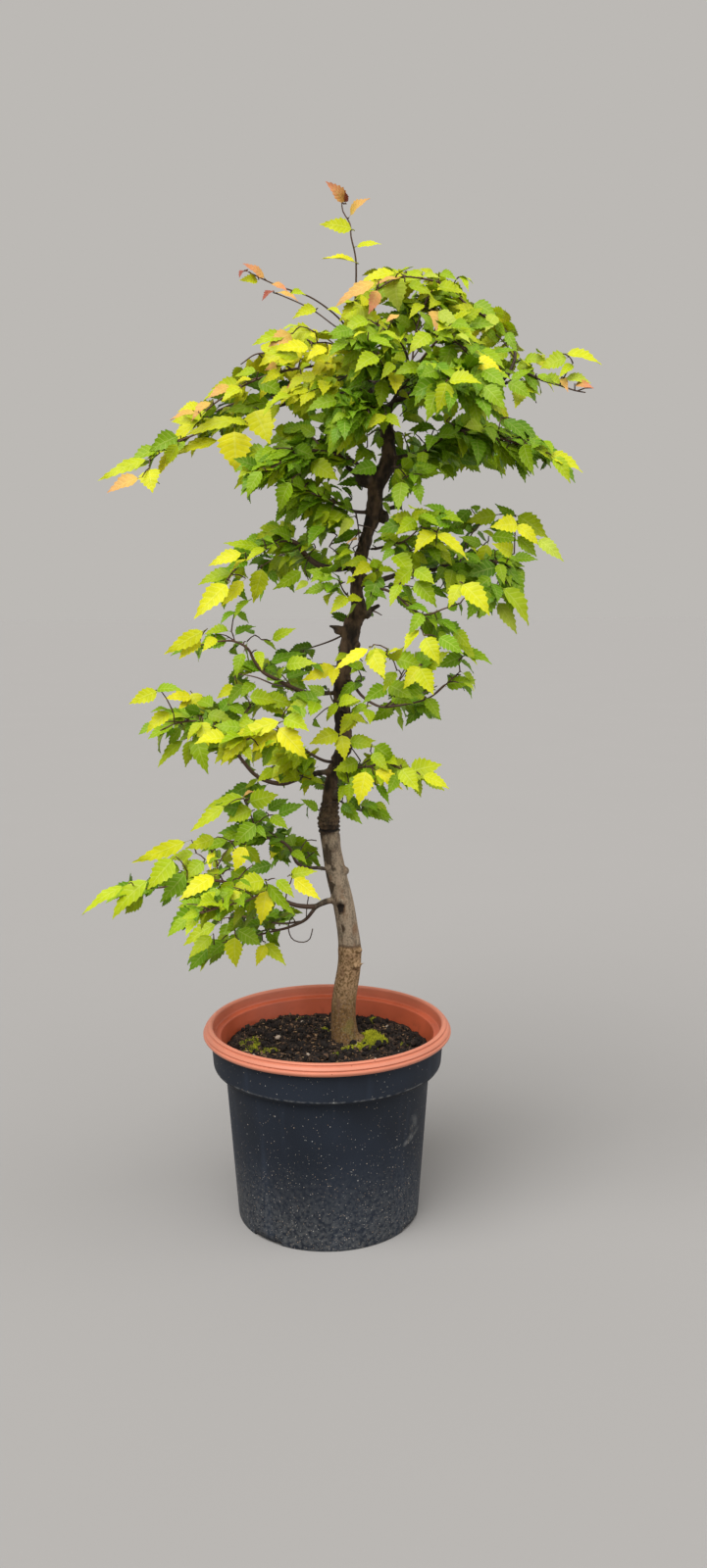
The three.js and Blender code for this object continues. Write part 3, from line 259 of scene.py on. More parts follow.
            (-48, 417, -12), (-62, 420, -14), (-74, 430, -16), (-80, 446, -18), (-86, 460, -18)]),
        Stem(1.5, start=3.2, fill=1.9, line=[(-40, 406, 16), (-52, 418, 40), (-66, 430, 58)]),
        Stem(0.8, start=3.6, line=[(-30, 402, -6), (-21, 417, -4), (-10, 417, -2)]),
        Stem(0.7, start=2.6, line=[(-20, 399, 0), (-12, 405, 2)]),
    ]),
    Spray("spray_low_left", wood=34, bare=56, fresh=0.62, stems=[
        Stem(3.3, fill=2, line=[(8, 352, 9), (-2, 350, 3), (-12, 345, -4), (-25, 345, -8), (-38, 348, -12),
            (-68, 361, -20), (-90, 364, -24), (-108, 372, -28), (-130, 374, -32), (-156, 370, -36),
            (-182, 366, -40), (-206, 366, -42)]),
        Stem(1.2, start=7.1, fill=2, line=[(-116, 384, -20), (-118, 396, -14), (-124, 408, -8)]),
        Stem(1.5, start=5, fill=2, line=[(-84, 352, -44), (-108, 346, -62), (-134, 338, -76)]),
        Stem(1, start=4.2, line=[(-42, 362, -16), (-38, 372, -18), (-36, 379, -18)]),
    ]),
    Spray("spray_low_left_hanging", wood=26, bare=66, fresh=0.54, stems=[
        Stem(2.6, fill=1.6, line=[(8, 351, 9), (-3, 348, 6), (-12, 343, 6), (-19, 334, 6), (-26, 328, 6),
            (-43, 321, 4), (-56, 318, 2), (-79, 312, -4), (-100, 308, -10), (-122, 302, -14)]),
        Stem(1.6, start=4, fill=1.6, line=[(-52, 326, 30), (-72, 332, 52), (-96, 334, 70), (-122, 330, 84)]),
        Stem(0.9, start=4.4, line=[(-37, 333, 8), (-41, 324, 10), (-40, 314, 12), (-35, 307, 14),
            (-25, 305, 14), (-18, 309, 13), (-15, 320, 12)]),
        Stem(0.7, start=3.4, line=[(-21, 344, 2), (-19, 356, -2)]),
    ]),
]

# Leaves as the front view shows them: where the foot and the tip are, and the tone. The tone goes from 0 in
# the shade to 9 for the yellowest, and from 10 on it is one of NEW. A half more says that the leaf is broad,
# and 0.8 more that it is nearly as broad as long.
# The places are read in windows of the view, each given by its corner and how many times as large it is.
NEW = ("orange", "salmon", "red", "pale")
LEAVES = [
    ((94, 172, 2.947), [
        (758, 100, 700, 38, 11), (755, 102, 757, 64, 12), (778, 142, 836, 90, 10.5), (778, 185, 682, 168, 8),
        (796, 236, 870, 228, 8), (790, 285, 690, 272, 8), (1300, 575, 1372, 580, 6),
        (1425, 570, 1345, 602, 6.5), (1425, 560, 1532, 592, 7), (1440, 590, 1400, 632, 6),
        (1412, 632, 1430, 673, 10), (1425, 632, 1500, 648, 13), (1455, 650, 1508, 662, 11),
        (1300, 610, 1340, 678, 3), (1260, 640, 1330, 600, 5), (1340, 620, 1392, 650, 5),
        (1310, 835, 1390, 890, 6), (1375, 860, 1475, 915, 8), (1385, 870, 1437, 948, 6),
        (1300, 830, 1328, 925, 4), (1250, 645, 1322, 692, 4.5), (1238, 612, 1300, 640, 4),
        (1282, 588, 1335, 632, 5.5), (1300, 660, 1262, 700, 3), (1250, 850, 1318, 918, 4),
        (1270, 760, 1345, 830, 2), (1330, 700, 1285, 650, 4),
    ]),
    ((230, 260, 5.01), [
        (195, 120, 85, 45, 11), (160, 128, 68, 132, 8), (112, 92, 70, 120, 12), (240, 150, 318, 188, 11),
        (268, 198, 372, 238, 10), (240, 190, 185, 238, 12), (340, 195, 412, 208, 6), (458, 278, 340, 328, 8),
        (525, 282, 598, 318, 7), (760, 145, 558, 268, 10), (865, 100, 680, 150, 8), (900, 125, 760, 160, 10),
        (655, 248, 558, 268, 7), (775, 185, 730, 305, 11), (870, 135, 885, 292, 13.8), (870, 112, 962, 60, 6),
        (925, 98, 1015, 118, 6.5), (1010, 110, 1100, 122, 13), (1100, 98, 1185, 132, 5.5),
        (1190, 125, 1265, 150, 13), (1200, 120, 1240, 192, 6), (930, 160, 1062, 215, 5.5),
        (1195, 215, 1045, 202, 4), (1005, 258, 935, 330, 6.5), (1078, 292, 1075, 395, 10.8),
        (1090, 290, 1200, 386, 13), (1275, 300, 1150, 266, 7), (1270, 252, 1392, 328, 4.5),
        (1375, 310, 1325, 396, 13.8), (1302, 350, 1205, 402, 3.5), (1345, 385, 1392, 458, 5),
        (1385, 350, 1442, 422, 4), (1438, 400, 1492, 502, 4), (678, 322, 832, 378, 6.5),
        (790, 340, 872, 412, 6), (880, 308, 818, 345, 10), (438, 398, 288, 420, 6.5),
        (372, 368, 288, 385, 13), (300, 418, 133, 466, 6), (332, 408, 218, 472, 10.5),
        (422, 475, 252, 488, 9), (372, 530, 198, 502, 6.5), (470, 402, 562, 412, 5),
        (510, 478, 412, 542, 8.5), (642, 490, 528, 516, 8), (560, 530, 655, 578, 7), (480, 560, 562, 592, 5),
        (602, 482, 538, 460, 6), (722, 398, 650, 422, 8), (612, 420, 702, 442, 10), (740, 440, 862, 482, 5),
        (800, 400, 892, 452, 6), (772, 520, 658, 602, 6.5), (852, 560, 790, 642, 5.5),
        (262, 558, 198, 592, 10), (272, 598, 178, 662, 8), (156, 600, 44, 626, 5.5), (382, 640, 310, 682, 11),
        (165, 652, 302, 722, 4.5), (72, 680, -12, 752, 8.5), (300, 700, 436, 876, 5.5),
        (228, 758, -2, 806, 4.5), (150, 800, 228, 970, 7.8), (45, 905, 55, 1114, 8.8), (100, 860, -5, 860, 7),
        (250, 895, 382, 922, 5.5), (372, 900, 258, 956, 3), (490, 710, 562, 802, 4.5),
        (572, 640, 455, 712, 5), (640, 802, 494, 876, 4), (692, 645, 600, 742, 3), (690, 700, 640, 762, 2),
        (690, 690, 742, 745, 3), (860, 608, 868, 714, 8.8), (802, 648, 784, 792, 4.5),
        (898, 598, 952, 645, 2), (888, 700, 942, 742, 6), (812, 822, 720, 893, 7.5),
        (815, 828, 895, 888, 5.5), (902, 828, 1018, 862, 4.5), (1142, 652, 1310, 663, 6.5),
        (1132, 655, 1077, 810, 6.5), (1062, 640, 984, 742, 3), (1052, 742, 958, 780, 5),
        (1176, 740, 1121, 888, 5.5), (1320, 722, 1190, 797, 5.5), (1335, 705, 1457, 858, 8),
        (1274, 545, 1412, 598, 9.5), (1248, 450, 1368, 512, 2), (1360, 512, 1496, 492, 3),
        (1152, 470, 1098, 602, 3.5), (1178, 418, 1256, 462, 13), (1042, 408, 934, 507, 5.5),
        (1058, 400, 1184, 442, 5), (950, 452, 1062, 396, 4), (1062, 545, 1028, 622, 1),
        (1098, 598, 1198, 628, 3), (1280, 768, 1326, 884, 2), (1340, 768, 1462, 922, 3),
        (1420, 848, 1546, 962, 3), (1312, 948, 1260, 1020, 4.5), (1162, 948, 1107, 1070, 3.5),
        (1225, 1018, 1279, 1110, 2.5), (1192, 1035, 1148, 1134, 1), (1350, 1015, 1414, 1146, 2),
        (1400, 955, 1556, 1136, 4), (1480, 955, 1575, 1075, 3), (1042, 1028, 994, 1134, 5),
        (1002, 1028, 928, 1092, 3), (868, 1100, 951, 1210, 6), (862, 1125, 881, 1212, 5),
        (892, 1240, 798, 1252, 3), (798, 1268, 842, 1332, 4), (858, 1288, 906, 1312, 2),
        (718, 928, 618, 992, 5), (602, 898, 556, 965, 4), (682, 848, 648, 935, 3), (566, 958, 498, 1003, 4),
        (784, 898, 738, 984, 3), (858, 928, 912, 1004, 2), (962, 918, 905, 945, 6), (998, 880, 1086, 905, 2),
        (440, 1063, 577, 1154, 5.5), (432, 1078, 384, 1164, 4.5), (348, 988, 462, 1042, 3.5),
        (332, 1163, 274, 1321, 4.5), (192, 1008, 42, 1200, 6), (182, 1108, 108, 1242, 4),
        (222, 1088, 168, 1204, 2), (298, 1058, 384, 1084, 1), (492, 1262, 424, 1392, 4.5),
        (512, 1268, 584, 1334, 3), (602, 1318, 556, 1404, 3), (304, 1288, 252, 1372, 3),
        (402, 1198, 398, 1284, 1), (328, 1298, 352, 1354, 1), (645, 1348, 574, 1444, 13),
        (692, 1158, 568, 1178, 3), (488, 1168, 544, 1214, 5), (652, 1098, 578, 1164, 3),
        (742, 1018, 688, 1084, 4), (718, 998, 772, 1064, 4), (1165, 880, 1080, 905, 3),
        (1210, 850, 1165, 930, 2), (1260, 830, 1230, 905, 1), (1230, 790, 1300, 850, 3),
        (1390, 620, 1460, 650, 4), (1000, 600, 1090, 560, 2), (760, 590, 690, 640, 3),
        (800, 700, 730, 740, 2), (560, 590, 640, 640, 4), (430, 560, 370, 600, 6), (480, 660, 420, 700, 4),
        (900, 760, 850, 800, 3), (960, 700, 1020, 780, 4), (930, 960, 1000, 990, 2),
        (1010, 960, 1060, 1030, 1), (1060, 930, 1130, 990, 2), (980, 760, 940, 820, 3),
        (1120, 850, 1050, 830, 3), (1150, 820, 1090, 790, 2), (920, 790, 870, 760, 3),
        (960, 800, 900, 860, 2), (1010, 870, 960, 930, 3), (1240, 900, 1180, 960, 1),
        (1290, 900, 1340, 960, 2), (1130, 1000, 1190, 1040, 3), (560, 1010, 620, 1060, 3),
        (640, 1060, 590, 1110, 2), (520, 1080, 560, 1010, 3), (660, 960, 720, 1010, 4),
        (600, 1190, 650, 1240, 2), (520, 1190, 600, 1215, 3), (560, 1110, 520, 1170, 2),
        (430, 1170, 470, 1230, 3), (640, 1250, 590, 1290, 2), (700, 840, 660, 780, 3),
        (740, 800, 700, 760, 2), (600, 1040, 560, 1000, 3), (500, 1300, 460, 1340, 4),
        (380, 1110, 330, 1060, 2), (250, 1140, 310, 1170, 2), (690, 1200, 640, 1160, 2),
    ]),
    ((95, 380, 5.01), [
        (270, 448, 20, 557, 7), (290, 500, 305, 618, 7.8), (232, 544, 70, 618, 10), (432, 332, 284, 407, 4.5),
        (432, 368, 374, 473, 6.5), (332, 408, 289, 497, 4), (738, 250, 468, 328, 7), (637, 352, 386, 432, 8),
        (642, 298, 538, 352, 3.5), (747, 88, 653, 154, 8), (702, 78, 586, 136, 10), (602, 158, 503, 252, 10),
        (522, 208, 392, 246, 10), (762, 248, 688, 312, 6), (847, 896, 662, 874, 5), (952, 794, 828, 853, 5),
        (757, 928, 587, 990, 8), (872, 898, 778, 968, 7), (782, 958, 710, 1015, 8), (702, 1028, 533, 1087, 5),
        (682, 1088, 513, 1262, 7.5), (767, 1068, 653, 1198, 8), (862, 1008, 817, 1181, 7.5),
        (882, 988, 942, 1089, 2.5), (887, 1058, 854, 1174, 3), (722, 1048, 793, 1174, 3),
        (1012, 938, 943, 1018, 5), (1062, 1018, 916, 1112, 5), (1092, 958, 1016, 1004, 4),
        (1182, 1038, 1106, 1062, 6), (1192, 1040, 1148, 1093, 4), (1092, 1068, 1028, 1118, 13),
        (1202, 898, 1166, 964, 4.5), (942, 898, 874, 934, 5), (1002, 858, 914, 874, 4),
        (1282, 1078, 1228, 1134, 4.5), (1397, 958, 1268, 988, 6), (1417, 984, 1320, 1044, 7.5),
        (1442, 1018, 1368, 1094, 6), (1462, 1038, 1398, 1218, 3.5), (1367, 1158, 1277, 1172, 7.5),
        (1292, 1148, 1210, 1235, 7), (1347, 1188, 1298, 1259, 4.5), (802, 1168, 718, 1263, 4),
        (722, 1228, 648, 1293, 3), (728, 1238, 793, 1285, 3.5), (728, 1345, 833, 1298, 3),
        (692, 1328, 566, 1342, 5), (562, 1323, 360, 1443, 8), (542, 1358, 438, 1468, 8),
        (622, 1358, 556, 1428, 7.5), (542, 1398, 538, 1458, 3), (868, 1373, 943, 1428, 5),
        (918, 1366, 1038, 1309, 5), (788, 1388, 806, 1499, 5), (772, 1383, 702, 1444, 2),
        (767, 1438, 733, 1564, 4), (838, 1428, 863, 1524, 5.5), (908, 1486, 1088, 1434, 3),
        (988, 1501, 1144, 1489, 5.5), (904, 1543, 878, 1484, 2), (1404, 1416, 1228, 1524, 9),
        (1232, 1508, 1062, 1578, 9), (1438, 1408, 1477, 1564, 7.5), (1338, 1488, 1398, 1534, 3),
        (1506, 1443, 1575, 1416, 8), (1050, 900, 1110, 860, 2), (1130, 900, 1080, 930, 3),
        (1230, 870, 1290, 850, 3), (1250, 940, 1200, 980, 4), (990, 950, 940, 900, 5),
        (870, 850, 930, 880, 4), (1240, 830, 1180, 800, 5), (1120, 1500, 1180, 1540, 3),
        (950, 1560, 990, 1500, 4), (820, 1340, 770, 1310, 3),
    ]),
    ((350, 490, 5.01), [
        (292, 84, 188, 106, 3), (290, 148, 228, 142, 2), (352, 206, 236, 188, 6.5), (344, 201, 470, 163, 6.5),
        (337, 224, 170, 270, 3.5), (392, 248, 262, 283, 5), (467, 274, 360, 375, 8.5),
        (479, 279, 640, 415, 8), (522, 171, 408, 128, 2), (552, 214, 418, 226, 2.5),
        (782, 179, 626, 217, 6.5), (872, 181, 773, 118, 3), (888, 184, 1047, 298, 5.5),
        (887, 229, 750, 241, 8.5), (884, 234, 1004, 338, 8), (998, 308, 1128, 418, 13),
        (888, 288, 987, 393, 5), (758, 288, 902, 312, 3.5), (862, 371, 758, 323, 6.5),
        (788, 363, 900, 423, 3), (737, 328, 696, 470, 6.5), (642, 158, 538, 263, 2), (702, 228, 618, 293, 2),
        (702, 331, 588, 288, 4), (618, 298, 684, 384, 5), (782, 449, 626, 492, 1.5), (788, 408, 907, 548, 3),
        (798, 483, 903, 603, 3), (808, 558, 945, 748, 5.5), (743, 568, 828, 613, 5.5),
        (788, 628, 888, 789, 13), (558, 498, 718, 550, 4.5), (608, 538, 750, 695, 7.5),
        (738, 608, 762, 694, 3), (602, 538, 538, 655, 6.5), (588, 638, 602, 693, 2), (638, 608, 692, 673, 2),
        (368, 518, 478, 653, 4.5), (368, 458, 468, 533, 5.5), (347, 458, 252, 548, 5.5),
        (292, 533, 238, 648, 5), (293, 543, 352, 648, 4), (468, 488, 568, 543, 3), (178, 468, 288, 482, 5),
        (337, 368, 278, 443, 5), (343, 378, 433, 428, 5.5), (423, 358, 524, 408, 5), (548, 398, 594, 463, 4),
        (402, 683, 333, 793, 4), (387, 768, 310, 878, 7), (428, 678, 483, 773, 2.5), (488, 733, 550, 793, 3),
        (418, 808, 491, 945, 7.5), (488, 808, 613, 893, 3.5), (578, 823, 683, 948, 5),
        (608, 888, 762, 942, 4), (612, 899, 479, 957, 3.5), (598, 928, 668, 993, 4), (608, 988, 674, 1068, 5),
        (598, 1018, 657, 1118, 3), (263, 914, 408, 964, 4.5), (243, 911, 313, 848, 7),
        (138, 868, 213, 1018, 7.5), (228, 868, 254, 923, 5), (392, 958, 306, 1068, 8.5),
        (394, 963, 461, 1098, 7.5), (267, 983, 203, 1088, 5), (432, 1058, 333, 1103, 1.5),
        (337, 1088, 230, 1191, 4.5), (412, 1123, 316, 1258, 2), (423, 1118, 494, 1225, 4.5),
        (28, 932, 84, 974, 4), (-22, 1128, 91, 1131, 5.5), (48, 1186, 148, 1153, 5), (43, 1198, 128, 1248, 6),
        (46, 1198, -8, 1293, 6), (158, 1358, 265, 1438, 4.5), (28, 1342, 168, 1333, 5),
        (343, 1491, 505, 1453, 6.5), (298, 1478, 387, 1593, 6.5), (408, 1513, 543, 1578, 8),
        (163, 1488, 303, 1583, 9), (148, 1398, 233, 1493, 5), (160, 330, 250, 290, 4),
        (270, 320, 190, 370, 4), (480, 330, 540, 300, 3), (660, 250, 740, 220, 2), (700, 420, 640, 450, 3),
        (500, 560, 560, 600, 4), (350, 1040, 420, 1020, 2), (540, 1000, 600, 1030, 2),
        (90, 1010, 50, 1040, 3),
    ]),
    ((85, 690, 5.01), [
        (377, 79, 232, 144, 8), (378, 74, 518, 80, 5), (552, 109, 412, 116, 9.5), (530, 128, 478, 183, 9),
        (553, 88, 624, 218, 8.5), (638, 118, 698, 193, 6), (442, 188, 320, 295, 8), (442, 184, 342, 186, 4),
        (512, 158, 478, 258, 5), (528, 148, 614, 214, 4), (502, 263, 438, 358, 4), (452, 258, 418, 323, 3),
        (602, 238, 528, 338, 7), (598, 238, 642, 358, 7.5), (512, 333, 380, 471, 5), (547, 328, 520, 468, 5),
        (573, 308, 639, 503, 4.5), (638, 198, 774, 241, 4.5), (688, 258, 804, 270, 3),
        (777, 58, 679, 115, 7.5), (778, 8, 847, 104, 6), (848, 108, 988, 137, 5.5), (748, 150, 840, 215, 3.5),
        (678, 338, 692, 393, 2), (1002, 238, 732, 338, 8), (822, 298, 700, 458, 8), (987, 283, 857, 391, 9.5),
        (998, 268, 1145, 425, 9.5), (892, 368, 870, 465, 6), (808, 358, 864, 444, 6.5),
        (1028, 218, 1154, 282, 6.5), (962, 358, 918, 463, 4.5), (1082, 348, 1026, 404, 5),
        (967, 473, 885, 541, 6), (958, 478, 1007, 548, 8), (1107, 518, 995, 552, 6), (988, 438, 1088, 503, 3),
        (1088, 473, 1168, 512, 4), (1098, 428, 1152, 483, 2), (1167, 533, 1102, 585, 5),
        (1163, 528, 1233, 553, 5), (1302, 298, 1152, 347, 7.5), (1318, 303, 1337, 433, 7.5),
        (1382, 198, 1309, 303, 7.5), (1312, 138, 1242, 235, 6), (1308, 141, 1415, 123, 5.5),
        (1368, 193, 1451, 246, 7), (1368, 191, 1468, 152, 5), (1392, 33, 1297, 123, 4),
        (1178, 228, 1214, 264, 4), (1402, 438, 1276, 483, 5.5), (1368, 338, 1493, 363, 4.5),
        (1288, 478, 1393, 568, 4.5), (1442, 488, 1406, 661, 8.5), (1332, 558, 1302, 648, 5),
        (1498, 558, 1563, 658, 3), (1338, 618, 1423, 693, 2), (1448, 678, 1571, 740, 4),
        (1428, 678, 1454, 734, 3), (1132, 88, 1032, 203, 3.5), (1078, 88, 1154, 144, 4),
        (1058, 158, 1114, 204, 2), (822, 628, 609, 688, 6), (722, 668, 545, 798, 7), (823, 622, 873, 590, 10),
        (848, 642, 998, 606, 4.5), (943, 687, 1048, 626, 2), (998, 707, 1133, 653, 3),
        (1197, 682, 1108, 628, 4), (1152, 668, 1150, 728, 3), (862, 688, 732, 748, 5.5),
        (868, 698, 968, 753, 3.5), (958, 718, 1047, 783, 4.5), (882, 758, 762, 868, 4.5),
        (888, 768, 937, 834, 4), (993, 848, 1108, 887, 5.5), (992, 848, 953, 941, 8),
        (988, 888, 1064, 954, 1), (1068, 898, 1143, 963, 4), (1148, 908, 1204, 954, 2),
        (828, 868, 907, 958, 4.5), (827, 873, 773, 999, 8.5), (772, 888, 716, 944, 6),
        (932, 832, 858, 818, 2), (667, 828, 517, 882, 7), (522, 848, 245, 954, 8), (562, 908, 427, 938, 6),
        (732, 848, 598, 903, 4), (662, 903, 649, 993, 9), (612, 948, 517, 1043, 4.5),
        (457, 938, 325, 1093, 6.5), (517, 1013, 390, 1158, 3.5), (332, 1048, 147, 1246, 5.5),
        (207, 1078, -8, 1225, 7), (667, 1028, 489, 1146, 8.5), (702, 1012, 626, 998, 6),
        (767, 1048, 687, 1143, 5), (922, 1048, 752, 1088, 6.5), (962, 963, 827, 1003, 2.5),
        (1002, 938, 958, 993, 3), (943, 1058, 1088, 1228, 5), (988, 1043, 1078, 1133, 5),
        (1058, 1021, 1198, 998, 6), (1078, 1033, 1213, 1145, 9), (937, 1098, 904, 1273, 9.5),
        (852, 1108, 838, 1218, 4.5), (812, 1108, 652, 1208, 8), (622, 1191, 488, 1148, 3.5),
        (702, 1138, 618, 1193, 2), (602, 1198, 435, 1305, 3.5), (707, 1241, 602, 1234, 5),
        (677, 1273, 509, 1378, 6.5), (652, 1328, 537, 1443, 6), (602, 1398, 532, 1478, 3),
        (742, 1263, 698, 1373, 4.5), (758, 1238, 804, 1294, 4), (788, 1298, 908, 1375, 3.5),
        (828, 1268, 894, 1314, 2), (775, 1333, 782, 1491, 7.5), (702, 1358, 594, 1515, 5),
        (727, 1338, 643, 1478, 4), (927, 1373, 882, 1483, 8), (928, 1368, 1036, 1481, 6),
        (918, 1218, 1048, 1277, 4), (943, 1298, 1007, 1383, 4), (768, 1198, 834, 1234, 2),
        (920, 370, 990, 330, 4), (620, 960, 700, 930, 5), (560, 1230, 640, 1180, 3),
        (800, 1040, 860, 1080, 4), (740, 980, 690, 1020, 3), (860, 960, 800, 920, 3),
    ]),
    ((335, 325, 10.45), [
        (600, 650, 500, 870, 4.5), (310, 860, 225, 930, 6), (330, 460, 120, 510, 6.5),
        (545, 1190, 420, 1260, 4.5), (520, 1250, 545, 1400, 4.5), (395, 1250, 215, 1400, 5.5),
        (290, 1110, 200, 1300, 6), (260, 1090, 330, 1170, 4), (400, 1390, 270, 1550, 4.5),
        (700, 1220, 790, 1410, 4.5), (1100, 1180, 850, 1200, 2.5), (800, 1240, 890, 1330, 5.5),
        (300, 640, 200, 760, 3), (420, 680, 330, 740, 2), (450, 690, 380, 810, 2), (520, 560, 420, 620, 2),
        (400, 900, 300, 960, 2), (300, 940, 230, 1000, 3), (420, 1010, 330, 1050, 4), (100, 560, 170, 690, 3),
        (960, 850, 820, 1000, 4.5), (1020, 1100, 830, 1050, 5.5), (1080, 990, 960, 900, 6.5),
        (940, 1150, 1060, 1230, 2.5), (890, 950, 960, 1040, 3),
    ]),
    ((285, 510, 10.45), [
        (540, 130, 400, 300, 6), (540, 350, 440, 410, 4), (880, 355, 690, 420, 3.5),
        (820, 370, 560, 480, 3.5), (830, 435, 720, 480, 10), (760, 520, 570, 560, 3.5),
        (780, 560, 620, 620, 4.5), (700, 600, 580, 650, 5), (1040, 740, 965, 680, 4.5),
        (560, 780, 650, 870, 2.5), (770, 760, 700, 800, 6), (780, 830, 710, 900, 7),
        (350, 475, 215, 565, 4.5),
    ]),
    ((285, 640, 10.45), [
        (730, 290, 580, 370, 5.5), (590, 440, 560, 630, 9.5), (870, 375, 745, 505, 4.5),
        (900, 540, 780, 600, 2.5), (860, 590, 790, 680, 1), (430, 650, 520, 680, 3),
    ]),
]

# The camera of the front view, and the size of the picture that its windows are read in
WIDE, HIGH = 721, 1600
LENS, SENSOR = 28.93, 36
CAMERA = (0.0299, -1.3238, 0.681)
DOWN, ROLL = 8.71, -0.0046
TILT = Matrix.Rotation(math.radians(90 - DOWN), 3, "X") @ Matrix.Rotation(ROLL, 3, "Z")


def srgb(red, green, blue):
    """A colour of 0 to 255 a channel as the linear one that Blender's colour sockets take."""
    shares = (red / 255, green / 255, blue / 255)
    return tuple(s / 12.92 if s <= 0.04045 else ((s + 0.055) / 1.055) ** 2.4 for s in shares)


def colour(name, description, red, green, blue):
    """A colour property."""
    return FloatVectorProperty(name=name, description=description, subtype="COLOR", size=3,
                               min=0, max=1, default=srgb(red, green, blue))


def length(name, description, millimetres):
    """A length property."""
    return FloatProperty(name=name, description=description, default=millimetres * MM, unit="LENGTH")


class PotLook(bpy.types.PropertyGroup):
    """Sizes and colours of the two pots"""
    rim_radius: FloatProperty(name="Rim radius", description="Half the terracotta rim's outer width",
                              default=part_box("inner_pot")[1].x, unit="LENGTH")
    rim_height: FloatProperty(name="Rim height", description="Height of the terracotta rim's crest",
                              default=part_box("inner_pot")[1].z, unit="LENGTH")
    collar_radius: FloatProperty(name="Collar radius", description="Half the black pot's width at its top",
                                 default=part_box("nursery_pot")[1].x, unit="LENGTH")
    collar_height: FloatProperty(name="Collar height", description="Height of the black pot's top edge",
                                 default=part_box("nursery_pot")[1].z, unit="LENGTH")
    steps: IntProperty(name="Steps", description="Faces round each pot", default=144)
    black: colour("Black plastic", "The nursery pot's weathered plastic", 28, 34, 44)
    dust: colour("Dust", "Specks and smears of dried lime on the nursery pot", 204, 204, 198)
    grit: colour("Grit", "Tan specks among the dust", 170, 140, 106)
    terracotta: colour("Terracotta plastic", "The inner pot's plastic", 186, 87, 55)
    # Painted light: the paler colour that the whole rim is laid in, for the light that falls on it from above
    painted_rim_light: colour("Painted rim light", "The same plastic, laid paler on the rim as painted light", 190, 117, 92)


class SoilLook(bpy.types.PropertyGroup):
    """Crumbs and colours of the soil"""
    crumbs: IntProperty(name="Crumbs", description="Loose crumbs of peat on the soil", default=3200)
    clumps: IntProperty(name="Clumps", description="Larger clumps of peat", default=170)
    fibres: IntProperty(name="Fibres", description="Pale bits of wood and root on the soil", default=620)
    peat: colour("Peat", "Wet dark peat", 30, 24, 21)
    dry_peat: colour("Dry peat", "Drier crumbs of peat", 150, 114, 84)
    fibre: colour("Fibre", "Pale bits of wood", 206, 178, 132)
    stone: colour("Stone", "Small pale stones", 166, 150, 133)
    moss: colour("Moss", "The moss cushions", 178, 178, 40)
    dark_moss: colour("Dark moss", "The foot of the moss", 70, 84, 26)


class WoodLook(bpy.types.PropertyGroup):
    """Relief and colours of the bark"""
    voxel: length("Voxel", "Grain of the trunk's joined surface", 1.1)
    relief: length("Relief", "Depth of the rough bark", 1.3)
    foot: colour("Foot bark", "Bark of the trunk's foot", 106, 80, 46)
    tan: colour("Tan bark", "Pale bark between the foot and the ring above it", 142, 116, 86)
    smooth: colour("Smooth bark", "Grey bark above the foot", 132, 117, 98)
    rough: colour("Rough bark", "Dark bark of the upper trunk", 66, 51, 37)
    rust: colour("Rust", "Patches and rings of reddish bark", 112, 84, 60)
    # Painted highlight: the paler bark laid on the scar's bulge
    pale_mark: colour("Painted scar highlight", "Paler bark painted on the scar's bulge as its highlight", 112, 92, 68)
    bough: colour("Bough bark", "Pale patches on the boughs", 86, 75, 62)
    algae: colour("Algae", "The green film on the trunk's foot", 110, 112, 48)
    twig: colour("Young twig", "Bark of the newest shoots", 96, 68, 50)


class LeafLook(bpy.types.PropertyGroup):
    """Sizes and colours of the leaves"""
    width: FloatProperty(name="Width ratio", description="A leaf's width by its length", default=0.46)
    teeth: IntProperty(name="Teeth", description="Teeth on each side of a leaf", default=7, min=3)
    thickness: length("Thickness", "A leaf's thickness at its rib", 0.5)
    usual: length("Usual length", "Length of a grown leaf", 39)
    spacing: length("Spacing", "Distance between the side twigs of a stem", 13)
    deep: colour("Deep", "Old leaves in the shade", 68, 112, 14)
    green: colour("Green", "Grown leaves", 112, 160, 10)
    lime: colour("Lime", "Young leaves", 172, 196, 10)
    yellow: colour("Yellow", "The newest leaves in the sun", 236, 228, 28)
    pale: colour("Pale", "Thin new leaves", 196, 208, 72)
    orange: colour("Orange", "New leaves at a shoot's end", 228, 168, 108)
    salmon: colour("Salmon", "Leaves that have just unfolded", 218, 130, 108)
    red: colour("Red", "Buds", 166, 76, 70)
    vein: colour("Vein", "Ribs and veins", 226, 232, 130)


class StageLook(bpy.types.PropertyGroup):
    """Colours of the floor and of the light"""
    floor: colour("Floor", "The pale floor", 147, 145, 143)
    sky: colour("Surrounding", "The pale surrounding light", 188, 185, 181)


LOOKS = {"pot": PotLook, "soil": SoilLook, "wood": WoodLook, "leaf": LeafLook, "stage": StageLook}


class Looks(bpy.types.PropertyGroup):
    """All sizes and colours of the bonsai"""
    pot: PointerProperty(name="Pots", description="Both pots", type=PotLook)
    soil: PointerProperty(name="Soil", description="Peat, stones and moss", type=SoilLook)
    wood: PointerProperty(name="Wood", description="Trunk, boughs and twigs", type=WoodLook)
    leaf: PointerProperty(name="Leaves", description="Leaves of all sprays", type=LeafLook)
    stage: PointerProperty(name="Stage", description="Floor and light", type=StageLook)


# Places, lines and limbs, in millimetres

def seen(x, z, y):
    """The place at depth y that the front view shows at x and z."""
    reach = 1 - y / EYE.y
    return Vector((EYE.x + (x - EYE.x) * reach, y, EYE.z + (z - EYE.z) * reach))


def along(points, t):
    """The place on a line of points, where t counts the spans walked."""
    span = min(len(points) - 2, int(t))
    return points[span].lerp(points[span + 1], t - span)


